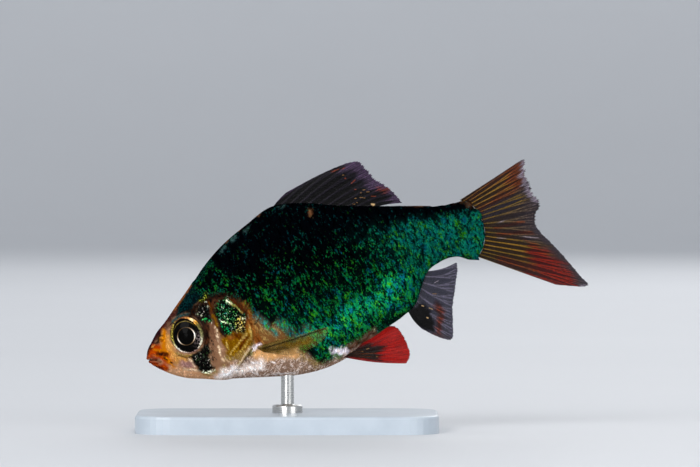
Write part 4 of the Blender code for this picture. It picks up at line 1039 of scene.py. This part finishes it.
# Marks: paint over the rays and over the membrane, points, half width (0 for a filled outline), softness
TAIL_MARKS = [
    (RUST_RAY, RUST_WEB, [(49, 5.2), (52, 6.2), (58.4, 8.2), (58.2, 6), (57.2, 4.4), (54, 3.4),
                          (50.5, 2.6)], 0, 0.7),
    (GOLD_RAY, OLIVE_WEB, [(49, 4.2), (52, 4.9), (54.6, 5.5)], 0.8, 0.8),
    (OLIVE_RAY, SMOKE_WEB, [(50, 2.2), (53, 2.5), (56, 2.8)], 0.8, 0.7),
    (OLIVE_RAY, OLIVE_WEB, [(49, -1.8), (52.6, -3.6), (55.6, -5.4)], 1.6, 0.9),
    (GOLD_RAY, None, [(49.5, -1.4), (52, -2.6), (54, -3.8)], 0.8, 0.9),
    (RUST_RAY, RUST_WEB, [(51.6, 0.1), (54.6, -0.2), (55.6, -0.4)], 0.16, 0.2),
    (RUST_RAY, RUST_WEB, [(51.6, -0.8), (54.6, -1.6), (56.2, -2.2)], 0.2, 0.2),
    (PALE_RAY, None, [(51, -1.2), (55, -2.4), (56.8, -3.2)], 0.05, 0.12),
    (PALE_RAY, None, [(51, 0.6), (54.6, 0.9)], 0.05, 0.12),
    (RUST_RAY, RUST_WEB, [(51, -4.4), (54, -6.6), (57, -8.6)], 0.6, 0.5),
    (RED_RAY, RED_WEB, [(55.4, -3.4), (56.8, -4.8), (58.2, -6.8), (59.2, -8.8), (59.8, -10.6), (59, -11.6),
                        (56.4, -9.4), (55, -7.4), (54.6, -5)], 0, 0.7),
    (RED_RAY, RED_WEB, [(53.6, -7.2), (55.6, -8.9), (58, -10.7), (59.4, -11.5)], 0.2, 0.25),
    (SMOKE_RAY, CLEAR_WEB, [(57, -2), (58.2, -4.2), (59.4, -6.8), (60.3, -9.2), (61, -12)], 0.3, 0.4),
    (PALE_RAY, MAUVE_WEB, [(58.2, 7.4), (57.8, 5.6), (57.7, 3.8), (58.2, 1.8)], 0.3, 0.45),
    (PALE_RAY, MAUVE_WEB, [(59.6, -11.8), (61, -12)], 0.2, 0.4),
]


def upright(line):
    """A line on the fish's middle plane."""
    return [(u, 0.0, v) for u, v in line]


root = [(u - 0.25, y, v) for u, y, v in upright(SCALE_END[1:-1])]
tail, *at = fin("tail_web", root, upright(TAIL_TIPS), 0.0,
                (0.02, 0.05, 0.05, 0.05, 0.03, 0.02, 0.015, 0.015), 5, each=18, steps=130)
fin_paint(tail, (OLIVE_WEB, SMOKE_WEB), (OLIVE_RAY, SMOKE_RAY), TAIL_MARKS, *at)
fin_done(tail, "pale_fin", "tail_fin")

# The dorsal fin stands on the back, laid back, black with a clear mauve margin behind and gold flecks at its
# foot, and the anal fin stands under the belly, clear behind a black triangle and a red band.

DORSAL_TIPS = [(25.9, 14.75), (30.6, 15.45), (34.8, 15.75), (37.1, 15.4), (37.6, 14.3), (38, 13.3),
               (38.4, 12.3), (39.1, 11.4), (39.7, 10.6), (40.1, 9.8), (40.5, 8.8), (40.7, 7.85)]
ANAL_TIPS = [(37.2, -9.6), (38.9, -11.4), (40.6, -12.4), (41.4, -10.9), (42, -9.2), (42.7, -7.4),
             (43.7, -5.6), (44.6, -3.9), (45, -2.5)]
DORSAL_FOOT, ANAL_FOOT, FOOT_SUNK = (23.4, 36.8), (36.2, 40.6), 0.3
PLUM_RAY, PLUM_WEB = (0.1, 0.055, 0.11, 0.98), (0.02, 0.01, 0.034, 0.975)
INK_RAY, ASH_RAY = (0.011, 0.008, 0.015, 0.99), (0.11, 0.098, 0.14, 0.975)
DORSAL_MARKS = [
    (PLUM_RAY, PLUM_WEB, [(34.8, 15), (36.2, 13.4), (37.6, 11.4), (39, 9.8), (39.4, 8.2), (42, 7), (42, 12),
                          (38.5, 16.5), (34.4, 16.4)], 0, 0.7),
    (EMBER, None, [(38.2, 10.8), (39.4, 10.2)], 0.2, 0.4),
    (PLUM_RAY, PLUM_WEB, [(24, 14), (28, 15.1), (31.5, 15.7), (35.5, 15.9)], 0.05, 0.16),
    (EMBER, RUST_WEB, [(32.8, 15.3), (34.8, 15.2)], 0.05, 0.12),
    (GLINT, GLINT, [(36.5, 9.15), (36.9, 8.95)], 0.09, 0.1),
    *[(SPECK, SPECK, line, 0.02, 0.06) for line in (
        [(34.1, 10.1), (34.4, 9.95)], [(34.7, 10.1), (34.8, 10.05)], [(34.6, 10.7), (34.8, 10.65)],
        [(35.3, 10.6), (35.7, 10.45)], [(35.9, 10.35), (36.05, 10.3)], [(35.6, 11.2), (35.75, 11.15)],
        [(36.1, 11.45), (36.4, 11.35)], [(36.5, 11), (36.8, 10.9)])],
    (EMBER, EMBER, [(36.9, 10.2), (37.4, 10)], 0.03, 0.08),
    (EMBER, EMBER, [(35, 11.9), (35.2, 11.85)], 0.03, 0.08),
    (SPECK, SPECK, [(34.15, 14.35), (34.3, 14.3)], 0.02, 0.06),
    (EMBER, EMBER, [(34.2, 13.8), (34.35, 13.75)], 0.04, 0.08),
    (EMBER, EMBER, [(34.9, 12.85), (35.5, 13.1)], 0.04, 0.07),
]
ANAL_MARKS = [
    (BLACK, BLACK, [(35.8, -6.6), (38.6, -6.2), (39.2, -7.6), (39.1, -9.4), (38.6, -10.8),
                    (36.6, -8.8)], 0, 0.3),
    (SHADOW_RAY, RUST_WEB, [(40.2, -7), (40.5, -8.4), (40, -9.6), (39.2, -10.4), (38.9, -11.2)], 0.4, 0.35),
    (SMOKE_RAY, SMOKE_WEB, [(38.9, -11.2), (40.6, -12.2)], 0.15, 0.3),
    (GLINT, GLINT, [(38.3, -6.5), (38.5, -6.65)], 0.04, 0.06),
    (GLINT, GLINT, [(39.1, -7.1), (39.5, -7.45)], 0.03, 0.06),
    (GLINT, GLINT, [(38.4, -8.3), (38.5, -8.4)], 0.06, 0.07),
    (GOLD_RAY, GOLD_RAY, [(40.3, -5.5), (40.8, -5.65)], 0.03, 0.06),
    (PALE_RAY, PALE_RAY, [(41, -4.1), (41.6, -4)], 0.03, 0.06),
]


def median_root(edge, low, high, sunk):
    """A line along the back (0) or belly (1), sunk into the flesh."""
    u = np.linspace(low, high, 12)
    v = body_at(u)[edge] + (-sunk if edge == 0 else sunk)
    return np.column_stack((u, 0 * u, v))


dorsal, *at = fin("dorsal_web", median_root(0, *DORSAL_FOOT, FOOT_SUNK), upright(DORSAL_TIPS), 0.03,
                  (0.01, 0.03, 0.045, 0.04), 3, each=18, steps=120, ray_high=0.05)
fin_paint(dorsal, (BLACK, BLACK), (INK_RAY, INK_RAY), DORSAL_MARKS, *at)
fin_done(dorsal, "dark_fin", "dorsal_fin")
anal, *at = fin("anal_web", median_root(1, *ANAL_FOOT, FOOT_SUNK), upright(ANAL_TIPS), -0.06,
                (0.02, 0.04), 8, each=18, steps=120)
fin_paint(anal, (CLEAR_WEB, CLEAR_WEB), (ASH_RAY, ASH_RAY), ANAL_MARKS, *at)
fin_done(anal, "dark_fin", "anal_fin")

# The paired fins. The pectoral fins fan out from behind the gill covers, a dark first ray over a clear
# yellowish blade, and the pelvic fins hang behind the belly, dark at the root and bright red outwards.

PECTORAL_RAYS, PELVIC_RAYS = 13, 9
PECTORAL_SPREAD, PECTORAL_LEAN, PECTORAL_FAN = math.radians(25), math.radians(28), math.radians(28)
PECTORAL_LENGTHS = (11, 10.4, 9.3, 7.6, 6, 4.5, 3)
PECTORAL_FOOT, PECTORAL_SUNK = [(15.3, -3.95), (15.6, -4.5), (15.9, -5.05)], 0.5
PELVIC_FOOT = [(25.8, 1.2, -9.5), (26.2, 1, -9.1), (26.9, 0.8, -8.7)]
PELVIC_EDGE = [(33.6, 3.3, -13.2), (34.5, 3.1, -12.5), (34.65, 2.8, -11.1), (34.5, 2.4, -9.4),
               (33.9, 2.1, -8), (32.9, 2, -7.6)]
YELLOW_WEB, YELLOW_TIP = (0.2, 0.14, 0.02, 0.5), (0.22, 0.16, 0.03, 0.15)
LACQUER, LACQUER_RAY = (0.27, 0.001, 0.001, 0.98), (0.4, 0.008, 0.003, 0.99)
UMBER, CINDER = (0.005, 0.002, 0.001, 0.995), (0.016, 0.002, 0.001, 0.995)
PECTORAL_MARKS = [
    (UMBER, UMBER, [(15.6, -4.4), (20, -4.6), (24.6, -4.6)], 0.1, 0.12),
    (GOLD_RAY, OLIVE_WEB, [(15.2, -4.4), (16.4, -4.9), (18.5, -5.3)], 0.2, 0.3),
    (GLINT, GLINT, [(15, -4), (15.6, -4)], 0.1, 0.14),
]
PELVIC_MARKS = [
    (CINDER, UMBER, [(25, -10.4), (26, -8.4), (29.4, -8.7), (31, -9.4), (31, -10.6), (30.2, -12),
                     (27, -10.8)], 0, 0.7),
    (LACQUER_RAY, LACQUER, [(26.4, -9.9), (28.4, -10.9), (31, -12.4)], 0.12, 0.2),
    (RUST_RAY, None, [(27, -9.4), (29.4, -10.6)], 0.3, 0.5),
    *[(SPECK, SPECK, line, 0.02, 0.06) for line in (
        [(29, -9.5), (29.3, -9.5)], [(29.9, -10.9), (30.05, -11)], [(28.3, -9.6), (28.45, -9.65)])],
    (PALE_RAY, PALE_RAY, [(26.8, -8.9), (27.4, -9.1)], 0.04, 0.08),
]


def pectoral_fan(side):
    """Roots and tips of the pectoral rays: they fan out in one plane under the long first ray, which stands
    out from the flank, and the blade leans in to the belly."""
    share = np.linspace(0, 1, PECTORAL_RAYS)
    lead = np.array((math.cos(PECTORAL_SPREAD), side * math.sin(PECTORAL_SPREAD), -0.05))
    lean = np.array((0, -side * math.sin(PECTORAL_LEAN), -math.cos(PECTORAL_LEAN)))
    down = lean - (lean @ lead) * lead
    turn = PECTORAL_FAN * share[:, None]
    way = np.cos(turn) * lead + np.sin(turn) * down / np.linalg.norm(down)
    length = np.interp(share, np.linspace(0, 1, len(PECTORAL_LENGTHS)), PECTORAL_LENGTHS)
    foot = np.array([(u, side * float(flank(np.array(u), np.array(v))), v) for u, v in PECTORAL_FOOT])
    root = read_along(foot, share)
    return root - PECTORAL_SUNK * way, root + length[:, None] * way


for side, name in ((-1, "left"), (1, "right")):
    foot, tips = pectoral_fan(side)
    pectoral, *at = fin("pectoral_web_" + name, foot, tips, 0.0, (0.02, 0.02), 11, steps=80, wave=0.05)
    fin_paint(pectoral, (YELLOW_WEB, YELLOW_TIP), (OLIVE_RAY, YELLOW_WEB), PECTORAL_MARKS, *at)
    fin_done(pectoral, "pale_fin", "pectoral_fin_" + name)
    foot, edge = (np.array(line) * (1, side, 1) for line in (PELVIC_FOOT, PELVIC_EDGE))
    foot = foot + (foot - edge[[0, 2, 4]]) * 0.04
    pelvic, *at = fin("pelvic_web_" + name, foot, read_along(edge, np.linspace(0, 1, PELVIC_RAYS)), -0.03,
                      (0.02, 0.02), 14, each=18, steps=90, wave=0.08)
    fin_paint(pelvic, (LACQUER, LACQUER), (LACQUER_RAY, LACQUER_RAY), PELVIC_MARKS, *at)
    fin_done(pelvic, "red_fin", "pelvic_fin_" + name)

# The stand. A cast base with a satin finish, and a turned steel rod that is pressed into it through a small
# collar and ends in the belly.

ROD_RADIUS, COLLAR_RADIUS, COLLAR_HEIGHT, COLLAR_EDGE = 0.9, 2.1, 1.1, 0.3
ROD_TOP_SUNK = 0.6


def stand_finish():
    """Satin pale plastic, faintly mottled, with a fine cast texture."""
    f = Finish("stand_base", coat_weight=0.3, coat_roughness=0.1, specular_ior_level=0.4)
    mottle, fine = f.noise(f.in_fish(5.0, 5.0, 5.0), 4.0), f.noise(f.in_fish(0.12, 0.12, 0.12))
    f.feed(base_color=f.mixed(f.between(mottle, 0.3, 0.7), (0.45, 0.51, 0.57), (0.51, 0.57, 0.63)),
           roughness=fine * 0.1 + 0.30, normal=f.bumps(fine, 0.12, 0.00005))
    return f.material


def steel_finish():
    """Turned steel: fine rings round the rod in colour, gloss and bump."""
    f = Finish("steel", metallic=1.0)
    lines = f.noise(f.scaled(f.node("TexCoord", {}, {}, 3), (400.0, 400.0, 16000.0)))
    f.feed(base_color=f.mixed(f.between(lines, 0.3, 0.7), (0.50, 0.50, 0.49), (0.58, 0.58, 0.56)),
           roughness=lines * 0.15 + 0.2, normal=f.bumps(lines, 0.06, 0.00002))
    return f.material


def circles(profile, steps):
    """Points round the upright axis through the origin, a circle for each (radius, height) of a profile."""
    radius, high = (k[:, None] for k in np.array(profile).T)
    spin = np.linspace(0, 2 * math.pi, steps, endpoint=False)
    return np.stack((radius * np.cos(spin), radius * np.sin(spin), high + 0 * spin), axis=-1).reshape(-1, 3)


def turned(name, profile, steps=64):
    """A body turned about the upright axis: profile gives (radius, height) in mm from the bottom pole to the
    top one. It is made in world axes."""
    rings = len(profile) - 2
    poles = (0, 0, profile[0][1]), (0, 0, profile[-1][1])
    points = np.vstack((circles(profile[1:-1], steps), *poles)) * 0.001
    first, pole = np.arange(steps), rings * steps
    obj = piece(name, points, quads(rings, steps, wrap=True)[:, ::-1], fan(pole, first)[:, ::-1],
                fan(pole + 1, (rings - 1) * steps + first))
    obj.data.set_sharp_from_angle(angle=math.radians(35))
    return obj


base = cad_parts["stand_base"]
base.data.materials.clear()
base.data.materials.append(stand_finish())
under_belly = place(np.array([(u, 0, float(body_at(np.array(u))[1])) for u in np.linspace(14, 26, 60)]))
rod_top = under_belly[np.argmin(np.abs(under_belly[:, 0]))][2] * 1000 + ROD_TOP_SUNK
corner = np.radians(np.linspace(0, 90, 6))
collar_top = BASE_TOP + COLLAR_HEIGHT
collar = [(COLLAR_RADIUS - COLLAR_EDGE + COLLAR_EDGE * math.cos(t),
           collar_top - COLLAR_EDGE + COLLAR_EDGE * math.sin(t)) for t in corner]
rod = turned("rod", [(0, BASE_TOP - 0.2), (COLLAR_RADIUS, BASE_TOP - 0.2), *collar,
                     (ROD_RADIUS + 0.12, collar_top), (ROD_RADIUS, collar_top + 0.1), (ROD_RADIUS, rod_top),
                     (0, rod_top)])
rod.data.materials.append(steel_finish())
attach(rod, "root")
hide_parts("stand_rod")

# The setting. A pale seamless bowl stands for the table and the wall behind it, lit by soft boxes and
# glowing on its wall as painted light, and a long lens looks level along the fish's left side.

BOWL_FLAT, BOWL_CURVE, BOWL_HIGH, BOWL_STEPS = 1.1, 0.6, 1.5, 96
VIEW_CENTRE, VIEW_WIDTH, VIEW_DISTANCE, VIEW_RISE = (0.0087, 0, 0.0274), 0.09733, 0.85, math.radians(1.2)


def bowl():
    """A disc whose rim turns up in a quarter circle into a wall, turned about the upright axis."""
    turn = np.radians(np.linspace(0, 90, 24))
    radius = np.concatenate((np.linspace(0.001, BOWL_FLAT, 12), BOWL_FLAT + BOWL_CURVE * np.sin(turn[1:])))
    high = np.concatenate((np.zeros(12), BOWL_CURVE * (1 - np.cos(turn[1:]))))
    profile = np.column_stack((np.append(radius, radius[-1]), np.append(high, BOWL_HIGH)))
    obj = piece("floor", circles(profile, BOWL_STEPS), quads(len(profile), BOWL_STEPS, wrap=True),
                np.arange(BOWL_STEPS)[None])
    f = Finish("floor", roughness=0.6, specular_ior_level=0.25, emission_strength=1.0)
    cloud = f.noise(f.in_fish(120.0, 120.0, 120.0), 3.0)
    # Painted light: the bowl glows, faintly at the floor and fully from about 0.45 m up, to brighten the
    # wall
    high = f.node("SeparateXYZ", {}, {"Vector": f.node("TexCoord", {}, {}, 3)}, 2)
    f.feed(base_color=f.mixed(cloud, (0.60, 0.61, 0.63), (0.64, 0.65, 0.67)),
           emission_color=f.mixed(f.between(high, -0.1, 0.45), (0.0, 0.0, 0.0), (0.30, 0.315, 0.335)))
    obj.data.materials.append(f.material)
    return obj


def soft_box(name, place_at, size, power):
    """A square area light that faces the fish."""
    light = bpy.data.lights.new(name, "AREA")
    light.shape, light.size, light.energy = "SQUARE", size, power
    obj = bpy.data.objects.new(name, light)
    obj.location = place_at
    aim = np.array(VIEW_CENTRE) - np.array(place_at)
    tilt = math.atan2(-aim[2], math.hypot(aim[0], aim[1]))
    obj.rotation_euler = (math.pi / 2 - tilt, 0, math.atan2(-aim[0], aim[1]))
    bpy.context.scene.collection.objects.link(obj)


bowl()
soft_box("key", (-0.45, -0.72, 0.52), 0.45, 4.3)
soft_box("fill", (0.60, -0.62, 0.22), 0.50, 2.0)
soft_box("low", (-0.30, -0.72, 0.05), 0.30, 1.9)
soft_box("top", (0.0, 0.10, 0.85), 0.60, 1.6)
soft_box("back", (0.25, 0.75, 0.45), 0.50, 1.8)
world = bpy.data.worlds.new("studio")
world.use_nodes = True
world.node_tree.nodes["Background"].inputs["Color"].default_value = (0.90, 0.94, 1.0, 1)
world.node_tree.nodes["Background"].inputs["Strength"].default_value = 0.32
bpy.context.scene.world = world
bpy.context.scene.view_settings.view_transform = "Standard"

lens = bpy.data.cameras.new("camera")
lens.sensor_width = 36.0
lens.lens = lens.sensor_width * VIEW_DISTANCE / VIEW_WIDTH
lens.clip_start = 0.01
camera = bpy.data.objects.new("camera", lens)
camera.location = (VIEW_CENTRE[0], -VIEW_DISTANCE * math.cos(VIEW_RISE),
                   VIEW_CENTRE[2] + VIEW_DISTANCE * math.sin(VIEW_RISE))
camera.rotation_euler = (math.pi / 2 - VIEW_RISE, 0, 0)
bpy.context.scene.collection.objects.link(camera)
bpy.context.scene.camera = camera
